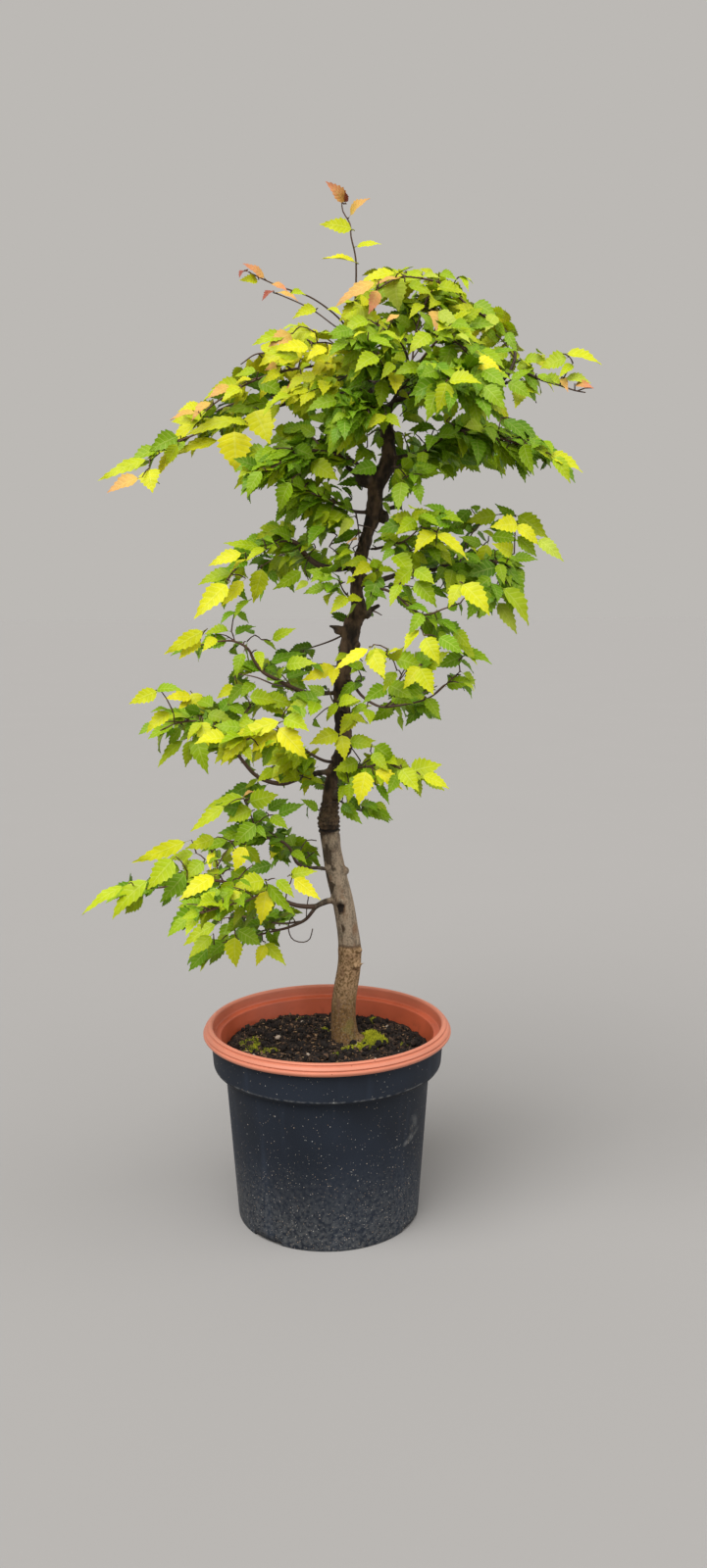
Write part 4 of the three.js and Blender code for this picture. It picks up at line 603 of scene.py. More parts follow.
def curve_at(points, t):
    """The place on the smooth curve through the points, where t counts the spans walked."""
    span = max(0, min(len(points) - 2, int(t)))
    ends = [points[0] * 2 - points[1], *points, points[-1] * 2 - points[-2]]
    a, b, c, d = ends[span:span + 4]
    s = t - span
    cubic = (b * 3 - a - c * 3 + d) * s ** 3 + (a * 2 - b * 5 + c * 4 - d) * s ** 2
    return (b * 2 + (c - a) * s + cubic) / 2


def smooth_line(points, radii, step, first=0.0, last=None):
    """Centres and radii of rings a step apart on the smooth curve, from one place on it to another."""
    last = len(points) - 1 if last is None else last
    line = []
    for span in range(int(first), math.ceil(last)):
        a, b = max(first, span), min(last, span + 1)
        count = max(1, round((points[span + 1] - points[span]).length * (b - a) / step))
        for i in range(count):
            t = a + (b - a) * i / count
            line.append((curve_at(points, t), radii[span] + (radii[span + 1] - radii[span]) * (t - span)))
    end = math.ceil(last) - 1
    line.append((curve_at(points, last), radii[end] + (radii[end + 1] - radii[end]) * (last - end)))
    return line


def spans_at(points, distance):
    """How many spans a distance along the line takes."""
    for i in range(len(points) - 1):
        span = (points[i + 1] - points[i]).length
        if distance < span:
            return i + distance / span
        distance -= span
    return len(points) - 1.0


def tapered(points, thick, thin):
    """A radius for each point, from thick to thin."""
    return [thick + (thin - thick) * i / (len(points) - 1) for i in range(len(points))]


def add_limb(bm, line, sides):
    """A round limb with closed ends. The line holds the centre and the radius of each ring."""
    across = Vector((0, 1, 0))
    last = len(line) - 1
    loop = []
    made = []
    for i, (centre, radius) in enumerate(line):
        way = (line[min(i + 1, last)][0] - line[max(i - 1, 0)][0]).normalized()
        across = across - way * across.dot(way)
        if across.length < 0.1:
            across = Vector((1, 0, 0)) - way * way.x
        across.normalize()
        turn = Matrix((across, way.cross(across), way)).transposed().to_4x4()
        ring = bmesh.ops.create_circle(bm, cap_ends=i in (0, last), segments=sides, radius=radius,
                                       matrix=Matrix.Translation(centre) @ turn)["verts"]
        edges = list({edge for vert in ring for edge in vert.link_edges})
        if loop:
            bmesh.ops.bridge_loops(bm, edges=loop + edges)
        loop = edges
        made += ring
    return made


def as_mesh(bm, name):
    """A mesh of what the bmesh holds. The bmesh is freed."""
    mesh = bpy.data.meshes.new(name)
    bm.to_mesh(mesh)
    bm.free()
    return mesh


def in_scene(name, data):
    """A new object that holds the data, in the scene."""
    made = bpy.data.objects.new(name, data)
    bpy.context.scene.collection.objects.link(made)
    return made


def piece(name, source, material, node_names, smooth=True):
    """A finished piece from a bmesh or a mesh in millimetres. It stands for the nodes that it replaces."""
    mesh = as_mesh(source, name) if isinstance(source, bmesh.types.BMesh) else source
    mesh.transform(Matrix.Scale(MM, 4))
    mesh.polygons.foreach_set("use_smooth", [smooth] * len(mesh.polygons))
    mesh.materials.clear()
    mesh.materials.append(material)
    made = in_scene(name, mesh)
    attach(made, BODY)
    if node_names:
        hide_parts(*node_names)
    return made


def shaped(bm, kind, values):
    """The bmesh with a modifier of a kind applied, as a mesh."""
    mesh = as_mesh(bm, "shaping")
    made = in_scene("shaping", mesh)
    modifier = made.modifiers.new(kind, kind)
    for key, value in values.items():
        setattr(modifier, key, value)
    bpy.context.view_layer.update()
    result = bpy.data.meshes.new_from_object(made.evaluated_get(bpy.context.evaluated_depsgraph_get()))
    bpy.data.objects.remove(made)
    bpy.data.meshes.remove(mesh)
    return result


def point_values(mesh, name, kind, values):
    """Stores values on the mesh's vertices as an attribute."""
    attribute = mesh.attributes.new(name, kind, "POINT")
    field = "color" if kind == "FLOAT_COLOR" else "value"
    attribute.data.foreach_set(field, np.asarray(values, np.float32).ravel())


def places(mesh):
    """The mesh's vertices as an array."""
    co = np.empty(len(mesh.vertices) * 3, np.float32)
    mesh.vertices.foreach_get("co", co)
    return co.reshape(-1, 3).astype(float)


def move_to(mesh, co):
    """Moves the mesh's vertices to the places of an array."""
    mesh.vertices.foreach_set("co", np.asarray(co, np.float32).ravel())
    mesh.update()


# Materials

def scaled(colour, share):
    """A lighter or darker colour."""
    return tuple(min(1, channel * share) for channel in colour)


class Finish:
    """A material that is built from a few kinds of node."""

    def __init__(self, name, roughness, specular):
        self.material = bpy.data.materials.new(name)
        self.material.use_nodes = True
        self.tree = self.material.node_tree
        self.shader = self.tree.nodes["Principled BSDF"]
        self.rough(roughness)
        self.shader.inputs["Specular IOR Level"].default_value = specular

    def node(self, kind, inputs, **settings):
        """A node with its settings, whose inputs are values or other nodes' sockets."""
        made = self.tree.nodes.new(kind)
        for key, value in settings.items():
            setattr(made, key, value)
        for key, value in inputs.items():
            self.set(made.inputs[key], value)
        return made

    def set(self, socket, value):
        if isinstance(value, bpy.types.NodeSocket):
            self.tree.links.new(value, socket)
        else:
            socket.default_value = value

    def object_place(self):
        """Object coordinates in metres."""
        return self.node("ShaderNodeTexCoord", {}).outputs["Object"]

    def place(self, stretch=(1, 1, 1)):
        """Object coordinates, stretched."""
        made = self.node("ShaderNodeMapping", {"Vector": self.object_place(), "Scale": stretch})
        return made.outputs["Vector"]

    def axis(self, name, vector=None):
        """One of the coordinates X, Y and Z."""
        return self.node("ShaderNodeSeparateXYZ", {"Vector": vector or self.object_place()}).outputs[name]

    def reach(self, vector):
        """How far a place lies from the origin."""
        return self.node("ShaderNodeVectorMath", {0: vector}, operation="LENGTH").outputs["Value"]

    def noise(self, scale, detail=3, stretch=(1, 1, 1)):
        return self.node("ShaderNodeTexNoise", {"Vector": self.place(stretch), "Scale": scale,
                                                "Detail": detail}).outputs["Fac"]

    def clouds(self, scale, low, high, detail=3, stretch=(1, 1, 1)):
        """Noise with its dark and pale parts cleared."""
        return self.between(self.noise(scale, detail, stretch), low, high)

    def cells(self, scale):
        """For small cells, how far a place lies from the cell's middle, and the cell's own random colour."""
        made = self.node("ShaderNodeTexVoronoi", {"Vector": self.place(), "Scale": scale})
        return made.outputs["Distance"], made.outputs["Color"]

    def oval(self, x, z, wide, high, turn=0.0):
        """How far a place on the front lies from the middle of an oval, where 1 is the oval's edge."""
        front = self.times(self.math("GREATER_THAN", self.axis("Y"), 0.0), 9.0)
        spot = self.node("ShaderNodeMapping", {
            "Vector": self.object_place(), "Location": (x, 0, z), "Rotation": (0, turn, 0),
            "Scale": (wide, 1000, high),
        }, vector_type="TEXTURE").outputs["Vector"]
        return self.math("ADD", front, self.reach(spot))

    def attribute(self, name, output="Fac"):
        return self.node("ShaderNodeAttribute", {}, attribute_name=name).outputs[output]

    def math(self, operation, a, b=0.0, c=0.0):
        return self.node("ShaderNodeMath", {0: a, 1: b, 2: c}, operation=operation).outputs[0]

    def times(self, a, b):
        return self.math("MULTIPLY", a, b)

    def off(self, value, middle, wander, share):
        """How far a value lies from its middle, which wanders a share of the way."""
        wandering = self.math("MULTIPLY_ADD", wander, share, value)
        return self.math("ABSOLUTE", self.math("SUBTRACT", wandering, middle))

    def between(self, value, low, high):
        """0 where the value is low or less, 1 where it is high or more, and smooth between."""
        return self.node("ShaderNodeMapRange", {"Value": value, "From Min": low, "From Max": high},
                         interpolation_type="SMOOTHSTEP").outputs["Result"]

    def band(self, value, start, full, fading, end):
        """1 where the value is in a band, and smooth at its edges."""
        return self.times(self.between(value, start, full), self.between(value, end, fading))

    def mix(self, factor, a, b, blend="MIX"):
        made = self.node("ShaderNodeMix", {0: factor}, data_type="RGBA", blend_type=blend)
        for index, value in ((6, a), (7, b)):
            solid = not isinstance(value, bpy.types.NodeSocket)
            self.set(made.inputs[index], (*value, 1) if solid else value)
        return made.outputs[2]

    def tones(self, pattern, low, high, colour, dark, light):
        """One colour that runs from a darker to a lighter tone with a pattern."""
        return self.mix(self.between(pattern, low, high), scaled(colour, dark), scaled(colour, light))

    def bump(self, height, strength, distance):
        made = self.node("ShaderNodeBump", {"Height": height, "Strength": strength, "Distance": distance})
        self.set(self.shader.inputs["Normal"], made.outputs["Normal"])

    def base(self, value):
        """Sets the colour that others are laid over."""
        self.colour = value
        self.set(self.shader.inputs["Base Color"], value)

    def lay(self, mask, colour, share=1.0):
        """Lays a colour over the one so far where the mask is, at a share of its strength."""
        self.base(self.mix(self.times(mask, share) if share < 1 else mask, self.colour, colour))

    def rough(self, value):
        self.set(self.shader.inputs["Roughness"], value)


# On the black pot: for each size of speck, how many there are to a metre, how large one is in its cell and
# how many more cells hold one near the foot
SPECKS = ((800, 0.34, 0.16), (430, 0.27, 0.13), (230, 0.17, 0.08))
# The heights in metres from which the specks grow denser downwards, and up to which the dusty film reaches
SPECKLED, FILMED = 0.17, 0.11
# The heights in metres where the lip and the shadow under it start, are full, start to fade and end
LIP = (0.1722, 0.1732, 0.174, 0.1752)
UNDER_LIP = (0.1675, 0.1715, 0.1722, 0.1732)
# Scuffs: x, z, half sizes, turn, and how pale they are
SCUFFS = (((0.089, 0.1086, 0.005, 0.0125, 0.96), 0.36), ((0.092, 0.124, 0.006, 0.014, 0.1), 0.15))


def black_plastic(look):
    """Weathered black plastic: fine specks, densest near the foot, streaks, and pale scuffs."""
    finish = Finish("black_plastic", 0.5, 0.2)
    height = finish.axis("Z")
    cloud = finish.noise(11, 4)
    finish.base(finish.tones(cloud, 0.35, 0.7, look.black, 0.78, 1.2))
    finish.lay(finish.clouds(42, 0.52, 0.8, 4, (1, 1, 0.1)), scaled(look.black, 1.8))
    film = finish.times(finish.between(height, FILMED, 0.0), finish.clouds(260, 0.3, 0.75))
    finish.lay(film, look.dust, 0.1)
    low = finish.between(height, SPECKLED, -0.02)
    for scale, size, most in SPECKS:
        distance, shade = finish.cells(scale)
        bar = finish.math("MULTIPLY_ADD", low, -most, 0.965)
        here = finish.math("GREATER_THAN", finish.axis("X", shade), bar)
        speck = finish.times(here, finish.between(distance, size, size * 0.5))
        strength = finish.times(speck, finish.between(finish.axis("Y", shade), -0.2, 1.1))
        finish.lay(strength, finish.mix(finish.axis("Z", shade), look.dust, look.grit))
    # A paler broken line along the collar's lip, laid in the dust's colour
    pale_mark = finish.times(finish.band(height, *LIP), finish.clouds(160, 0.4, 0.7, 4))
    finish.lay(pale_mark, look.dust, 0.16)
    finish.lay(finish.band(height, *UNDER_LIP), scaled(look.black, 0.25), 0.6)
    for oval, pale in SCUFFS:
        smear = finish.times(finish.between(finish.oval(*oval), 1.0, 0.1), finish.clouds(120, 0.3, 0.8, 4))
        finish.lay(smear, look.dust, pale)
    finish.rough(finish.between(cloud, -0.9, 1.5))
    finish.bump(finish.noise(900, 2), 0.25, 0.0004)
    return finish.material


def terracotta_plastic(look):
    """Terracotta-coloured plastic, laid paler on the rim as painted light, and splashed and dirty inside."""
    finish = Finish("terracotta_plastic", 0.45, 0.4)
    cloud = finish.noise(18, 4)
    finish.base(finish.tones(cloud, 0.3, 0.75, look.terracotta, 0.74, 1.0))
    # Painted light: the rim is laid in a paler colour where light falls on it from above
    rim_light_mask = finish.between(finish.reach(finish.place((1, 1, 0))), 0.121, 0.127)
    finish.lay(rim_light_mask, finish.tones(cloud, 0.3, 0.75, look.painted_rim_light, 0.92, 1.08))
    inside = finish.between(finish.axis("Z"), 0.199, 0.188)
    splashes = finish.times(finish.clouds(70, 0.52, 0.7, 4), inside)
    finish.lay(splashes, scaled(look.terracotta, 0.6))
    distance, shade = finish.cells(260)
    dirty = finish.math("GREATER_THAN", finish.axis("Y", shade), 0.93)
    dirt = finish.times(dirty, finish.between(distance, 0.2, 0.08))
    finish.lay(dirt, scaled(look.terracotta, 0.35))
    finish.rough(finish.between(cloud, -0.5, 1.7))
    finish.bump(finish.noise(700, 2), 0.2, 0.0003)
    return finish.material


def peat_finish(name, moist, dry):
    """Dark crumbly stuff whose own attribute says how pale each bit is."""
    finish = Finish(name, 0.9, 0.3)
    value = finish.mix(finish.attribute("pale"), moist, dry)
    finish.base(finish.mix(finish.clouds(420, 0.4, 0.75, 4), scaled(moist, 0.6), value))
    finish.bump(finish.noise(1500), 0.6, 0.0006)
    return finish.material


def stone_finish(look):
    """Pale stone with a little grain."""
    finish = Finish("stone", 0.8, 0.3)
    finish.base(finish.mix(finish.noise(500, 4), scaled(look.stone, 0.75), scaled(look.stone, 1.15)))
    finish.bump(finish.noise(1400), 0.4, 0.0004)
    return finish.material


def moss_finish(look):
    """Moss whose own attribute says how pale each shoot is: its cushion's freshness, and painted shade
    towards the cushion's foot and on its lower bumps.
    """
    finish = Finish("moss", 0.85, 0.2)
    finish.base(finish.mix(finish.attribute("pale"), look.dark_moss, look.moss))
    finish.lay(finish.clouds(160, 0.4, 0.65), look.moss, 0.75)
    return finish.material


# Heights on the trunk in metres: the ring above the tan bark, the crease where the dark bark starts, and the
# middle of the scar above it
RING, CREASE, SCAR = 0.2995, 0.4285, 0.445
# Hollows in the smooth bark, painted as dark shade: x, z and half sizes, and the share of the dark bark's
# colour
HOLLOWS = (((0.0155, 0.344, 0.006, 0.011), 0.25), ((0.0165, 0.32, 0.005, 0.007), 1.0))


def bark(look):
    """Brown at the foot, grey above it, and dark and rough from the scar up and on the branches, with painted
    shade in its crevices, hollows and crease and a painted highlight on the scar.
    """
    finish = Finish("bark", 0.8, 0.3)
    height = finish.axis("Z")
    wander = finish.times(finish.math("SUBTRACT", finish.noise(45, 4), 0.5), 0.05)
    level = finish.math("ADD", height, wander)
    patches = finish.noise(120, 5, (1, 1, 0.45))
    streaks = finish.noise(260, 4, (1, 1, 0.22))
    fine = finish.noise(520, 4)
    mottle = finish.math("MULTIPLY_ADD", streaks, 0.25, finish.times(finish.noise(420, 5), 0.75))
    speckle = finish.math("MULTIPLY_ADD", fine, 0.5, finish.times(streaks, 0.5))
    foot = finish.tones(mottle, 0.38, 0.62, look.foot, 0.6, 1.3)
    foot = finish.mix(finish.between(patches, 0.54, 0.74), foot, scaled(look.rust, 0.9))
    foot = finish.mix(finish.times(finish.between(fine, 0.52, 0.7), 0.6), foot, scaled(look.smooth, 1.2))
    tan = finish.mix(finish.between(mottle, 0.38, 0.6), scaled(look.foot, 0.75), scaled(look.tan, 1.2))
    tan = finish.mix(finish.between(patches, 0.54, 0.74), tan, look.rust)
    smooth = finish.tones(speckle, 0.38, 0.6, look.smooth, 0.55, 1.25)
    smooth = finish.mix(finish.between(patches, 0.52, 0.74), smooth, look.rust)
    rough = finish.tones(patches, 0.38, 0.62, look.rough, 0.35, 1.9)
    finish.base(foot)
    finish.lay(finish.between(level, 0.222, 0.262), tan)
    finish.lay(finish.between(height, RING - MM, RING + MM), smooth)
    ring = finish.between(finish.off(height, RING, wander, 0.1), 0.0022, 0.0008)
    finish.lay(ring, scaled(look.rust, 0.5), 0.7)
    # Darker blots on the trunk's left side, between these heights
    lean = finish.math("MULTIPLY_ADD", finish.math("SUBTRACT", height, 0.35), 0.2, finish.axis("X"))
    left_side = finish.times(finish.between(level, 0.325, 0.38), finish.between(lean, 0.021, 0.009))
    blots = finish.math("MULTIPLY_ADD", left_side, 0.13, finish.noise(105, 5, (1, 1, 0.7)))
    left_blots = finish.times(finish.between(blots, 0.55, 0.62), finish.between(left_side, 0.0, 0.3))
    finish.lay(left_blots, scaled(look.rough, 0.6), 0.85)
    # Painted shade of the hollows
    for oval, share in HOLLOWS:
        near = finish.math("MULTIPLY_ADD", finish.noise(240), 0.8, finish.oval(*oval))
        finish.lay(finish.between(near, 1.3, 0.9), scaled(look.rough, share))
    finish.lay(finish.between(level, 0.424, 0.432), rough)
    # Painted highlight: paler speckled bark on the scar's bulge
    scar = finish.between(finish.off(height, SCAR, wander, 0.0), 0.016, 0.006)
    pale_mark = finish.times(scar, finish.between(fine, 0.35, 0.65))
    finish.lay(pale_mark, look.pale_mark, 0.6)
    # Painted shade: a dark line in the crease under the scar's bulge
    crease = finish.between(finish.off(height, CREASE, wander, 0.15), 0.0026, 0.0008)
    finish.lay(crease, scaled(look.rough, 0.2))
    bough = finish.mix(finish.between(patches, 0.4, 0.65), scaled(look.rough, 0.45), look.bough)
    finish.lay(finish.attribute("branch"), bough)
    # Painted shade in the bark's crevices, from the trunk's own attribute
    finish.lay(finish.attribute("crevice_shade"), scaled(look.rough, 0.22))
    green = finish.times(finish.clouds(60, 0.55, 0.7, 4), finish.between(height, 0.26, 0.2))
    finish.lay(green, look.algae, 0.35)
    finish.bump(finish.math("ADD", fine, streaks), 0.5, 0.0007)
    return finish.material


def twig_bark(look):
    """Dark bark that turns redder where the wood's own attribute says that it is young."""
    finish = Finish("twig_bark", 0.6, 0.4)
    finish.base(finish.mix(finish.attribute("young"), scaled(look.rough, 0.6), look.twig))
    finish.lay(finish.clouds(400, 0.4, 0.8), scaled(look.twig, 0.5))
    finish.bump(finish.noise(900, 2), 0.3, 0.0003)
    return finish.material


def leaf_skin(look):
    """The leaf's own tint, with paler ribs and veins that run out to its teeth, and light shining through."""
    dulled, warmed = (0.86, 0.9, 0.8), (1.0, 0.96, 0.55)
    finish = Finish("leaf", 0.45, 0.22)
    spot = finish.node("ShaderNodeUVMap", {}, uv_map="UVMap").outputs["UV"]
    across = finish.math("ABSOLUTE", finish.math("MULTIPLY_ADD", finish.axis("X", spot), 2.0, -1.0))
    slanting = finish.math("MULTIPLY_ADD", across, -0.16, finish.axis("Y", spot))
    wave = finish.math("PINGPONG", finish.times(slanting, float(look.teeth)), 0.5)
    rib = finish.between(across, 0.1, 0.03)
    lines = finish.math("MAXIMUM", finish.between(wave, 0.12, 0.02), rib)
    tint = finish.attribute("tint", "Color")
    finish.base(finish.mix(1.0, tint, dulled, "MULTIPLY"))
    finish.lay(finish.clouds(180, 0.3, 0.8), tint)
    finish.lay(lines, finish.mix(0.5, tint, look.vein), 0.45)
    finish.bump(finish.math("ADD", wave, finish.times(rib, 0.5)), 0.35, 0.0008)
    through = finish.mix(1.0, finish.colour, warmed, "MULTIPLY")
    glow = finish.node("ShaderNodeBsdfTranslucent", {"Color": through})
    both = finish.node("ShaderNodeMixShader", {0: 0.28, 1: finish.shader.outputs[0], 2: glow.outputs[0]})
    finish.set(finish.tree.nodes["Material Output"].inputs["Surface"], both.outputs[0])
    return finish.material


# The pots

def rounded(corners):
    """An outline whose corners, given as radius, height and how round, are eased by short arcs."""
    points = []
    for i, (radius, height, ease) in enumerate(corners):
        corner = Vector((radius, 0, height))
        if not ease or i in (0, len(corners) - 1):
            points.append(corner)
            continue
        sides = [Vector((corners[j][0], 0, corners[j][1])) - corner for j in (i - 1, i + 1)]
        a, b = (corner + side.normalized() * min(ease, 0.45 * side.length) for side in sides)
        for step in range(5):
            t = step / 4
            points.append(a * (1 - t) ** 2 + corner * (2 * t * (1 - t)) + b * t ** 2)
    return points


def spun(points, steps):
    """A closed shape turned round the Z axis from an outline that starts and ends on it."""
    bm = bmesh.new()
    verts = [bm.verts.new(point) for point in points]
    edges = [bm.edges.new(pair) for pair in zip(verts, verts[1:])]
    bmesh.ops.spin(bm, geom=verts + edges, cent=(0, 0, 0), axis=(0, 0, 1), angle=2 * math.pi, steps=steps,
                   use_merge=True, use_duplicate=False)
    bmesh.ops.remove_doubles(bm, verts=bm.verts, dist=0.002)
    bmesh.ops.recalc_face_normals(bm, faces=bm.faces)
    return bm


def cut_out(bm, cutter):
    """The bmesh with the cutter's shape taken away, as a mesh."""
    mesh = as_mesh(cutter, "cutter")
    tool = in_scene("cutter", mesh)
    result = shaped(bm, "BOOLEAN", {"operation": "DIFFERENCE", "object": tool, "solver": "MANIFOLD"})
    bpy.data.objects.remove(tool)
    bpy.data.meshes.remove(mesh)
    return result


def add_holes(cutter, count, circle, radius, depth, start=0.0):
    """Round drainage holes on a circle in the pot's floor."""
    for i in range(count):
        angle = start + 2 * math.pi * i / count
        place = Matrix.Translation((circle * math.cos(angle), circle * math.sin(angle), depth / 2))
        bmesh.ops.create_cone(cutter, cap_ends=True, segments=32, radius1=radius, radius2=radius,
                              depth=depth * 1.6, matrix=place)


# The drainage notches in the black pot's foot: where they are, in degrees, and their size
NOTCHES, NOTCH = (-130, -25, 50, 140), (18, 38, 6)


class ZELKOVA_OT_nursery_pot(bpy.types.Operator):
    """Make the black nursery pot with its flared collar and the drain notches in its foot"""
    bl_idname = "zelkova.nursery_pot"
    bl_label = "Nursery pot"

    def execute(self, context):
        look = context.scene.zelkova.pot
        top, height, wall, floor = look.collar_radius / MM, look.collar_height / MM, 1.6, 3
        foot, body, lip, under = 99.8, top - 14.8, top - 2.2, height - 36
        bm = spun(rounded([
            (0, 0, 0), (foot - 0.5, 0, 1.5), (foot, 2, 1), (foot + 0.6, 10, 0), (body, under, 0.8),
            (lip - 3.4, under + 0.6, 2.5), (lip, under + 4.5, 3.5), (top - 0.3, height - 6, 3),
            (top, height, 0.5), (top - wall, height, 0.5), (lip - wall, under + 6.5, 3),
            (body - wall, under, 2), (foot - wall, floor + 3, 2), (foot - wall - 3, floor, 2), (0, floor, 0),
        ]), look.steps)
        cutter = bmesh.new()
        for degrees in NOTCHES:
            notch = Matrix.Rotation(math.radians(degrees), 4, "Z") @ Matrix.Translation((foot, 0, 0))
            bmesh.ops.create_cube(cutter, size=1, matrix=notch @ Matrix.Diagonal((*NOTCH, 1)))
        add_holes(cutter, count=6, circle=66, radius=7, depth=floor)
        piece("nursery_pot_body", cut_out(bm, cutter), black_plastic(look), ["nursery_pot"])
        return {"FINISHED"}


class ZELKOVA_OT_inner_pot(bpy.types.Operator):
    """Make the terracotta-coloured inner pot with its rolled and grooved rim"""
    bl_idname = "zelkova.inner_pot"
    bl_label = "Inner pot"

    def execute(self, context):
        look = context.scene.zelkova.pot
        rim, crest, wall, floor = look.rim_radius / MM, look.rim_height / MM, 1.8, 7.8
        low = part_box("nursery_pot")[1].z / MM + 0.3
        ridge = crest - 13.2
        mouth, ledge, step, neck, foot = rim - 10.7, rim - 19, rim - 24.4, rim - 27.6, rim - 39.5
        bm = spun(rounded([
            (0, 4, 0), (foot, 4, 2), (neck, 171, 2), (step + wall, 174.5, 3), (ledge + wall, low, 1),
            (rim - 2, low, 0.8), (rim, low + 2.5, 1.2), (rim - 0.3, low + 4.5, 0.4),
            (rim - 2.6, low + 5.3, 0.3), (rim - 1.3, low + 6.6, 0.5), (rim - 3, crest - 3.5, 0.5),
            (rim - 5.8, crest - 2.9, 0.3), (rim - 5, crest - 1.1, 0.5), (rim - 7.4, crest, 1),
            (mouth + 1.6, crest - 0.2, 1.2), (mouth, crest - 1.8, 1), (mouth - 1.2, ridge + 1.4, 1.5),
            (ledge, ridge + 0.6, 1.5), (step, 175, 2), (neck - wall, 173, 2), (foot - wall, floor, 2),
            (0, floor, 0),
        ]), look.steps)
        cutter = bmesh.new()
        add_holes(cutter, count=4, circle=52, radius=6, depth=8, start=math.pi / 4)
        material = terracotta_plastic(look)
        piece("inner_pot_body", cut_out(bm, cutter), material, ["inner_pot"])
        return {"FINISHED"}


# The soil

SOIL_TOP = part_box("inner_pot")[1].z / MM - 30
SOIL_RADIUS = 111.9
# The soil's outline where the pots hide it: radius and height
SOIL_FOOT = [(110.3, 175.6), (105.3, 173.2), (93.4, 8.1), (0, 8.1)]
# Mounds of the soil: x, y, height and how wide
MOUNDS = [(-60, 42, 5, 50), (22, 10, 4, 52)]
# Stones on the soil: x, y and size
STONES = [(68, 66, 3.4), (89, 36, 2.6), (33, -3, 2.8), (-55, 16, 4.4), (-20, -30, 2.4), (52, -42, 2.2),
          (-78, -30, 2.3), (6, 60, 2.6), (-30, 70, 3), (78, -20, 2)]
# Moss cushions: x, y, half sizes along x and y, height, and how fresh the green is
CUSHIONS = [
    (50, 12, 17, 23, 11, 1.0), (36, -10, 9, 7, 6, 0.8), (-82, 2, 16, 17, 2.4, 0.42),
    (-64, -14, 12, 9, 2, 0.34), (24, -14, 9, 6, 3, 0.6), (6, -26, 10, 6, 2.2, 0.4), (52, 84, 10, 7, 3, 0.5),
    (-24, 86, 15, 6, 2, 0.34), (86, 8, 7, 5, 2.5, 0.6), (60, -52, 9, 5, 2, 0.4), (-6, 44, 9, 7, 2, 0.34),
    (-40, -58, 10, 6, 2, 0.36),
]


def ground(x, y):
    """The height of the soil, with its mounds and lumps."""
    lumps = 1.6 * math.sin(x * 0.11 + 1) * math.cos(y * 0.13) + 1.1 * math.sin(x * 0.23 - y * 0.19)
    mounds = sum(h * math.exp(-((x - mx) ** 2 + (y - my) ** 2) / width ** 2) for mx, my, h, width in MOUNDS)
    grain = noise.fractal(Vector((x, y, 0)) / 7, 0.7, 2.0, 4) * 1.6
    return SOIL_TOP - 2 + mounds + lumps + grain


def repeated(shape, count, name):
    """One mesh that holds a small mesh many times over, all in one place."""
    bm = bmesh.new()
    for _ in range(count):
        bm.from_mesh(shape)
    return as_mesh(bm, name)


def scattered(bm, bits):
    """One mesh of many jagged copies of a small shape. Each bit has its matrix, and how pale it is."""
    shape = as_mesh(bm, "shape")
    mesh = repeated(shape, len(bits), "scattered")
    flat = places(shape)
    generator = np.random.default_rng(len(bits))
    placed = []
    for matrix, _ in bits:
        jagged = flat * (1 + 0.35 * (generator.random((len(flat), 1)) - 0.5))
        turn = np.array(matrix)
        placed.append(jagged @ turn[:3, :3].T + turn[:3, 3])
    move_to(mesh, np.concatenate(placed))
    point_values(mesh, "pale", "FLOAT", np.repeat([pale for _, pale in bits], len(flat)))
    bpy.data.meshes.remove(shape)
    return mesh


def swollen(shape, matrices):
    """Copies of a shape that stay round, each with a slow swell of its own."""
    bm = bmesh.new()
    mesh = as_mesh(shape, "shape")
    for number, matrix in enumerate(matrices):
        before = len(bm.verts)
        bm.from_mesh(mesh)
        bm.verts.ensure_lookup_table()
        for vert in bm.verts[before:]:
            swell = 1 + 0.25 * noise.noise(vert.co * 1.2 + Vector((number * 7, 0, 0)))
            vert.co = matrix @ (vert.co * swell)
    bpy.data.meshes.remove(mesh)
    return as_mesh(bm, "stones")


def somewhere(generator, margin):
    """A random place on the soil that keeps a margin to its edge."""
    radius = (SOIL_RADIUS - margin) * math.sqrt(generator.random())
    angle = generator.uniform(0, 2 * math.pi)
    return radius * math.cos(angle), radius * math.sin(angle)


def lying(generator, place, sizes, sink=0.3):
    """A bit with these half sizes at a place on the soil, turned at random, as a matrix."""
    turn = Matrix.Rotation(generator.uniform(0, 2 * math.pi), 4, "Z")
    tilt = Matrix.Rotation(generator.uniform(-0.6, 0.6), 4, "X")
    up = ground(*place) + min(sizes) * (1 - sink)
    return Matrix.Translation((*place, up)) @ turn @ tilt @ Matrix.Diagonal((*sizes, 1))


def ball(subdivisions):
    """A round shape, for the small bits of the soil."""
    bm = bmesh.new()
    bmesh.ops.create_icosphere(bm, subdivisions=subdivisions, radius=1)
    return bm


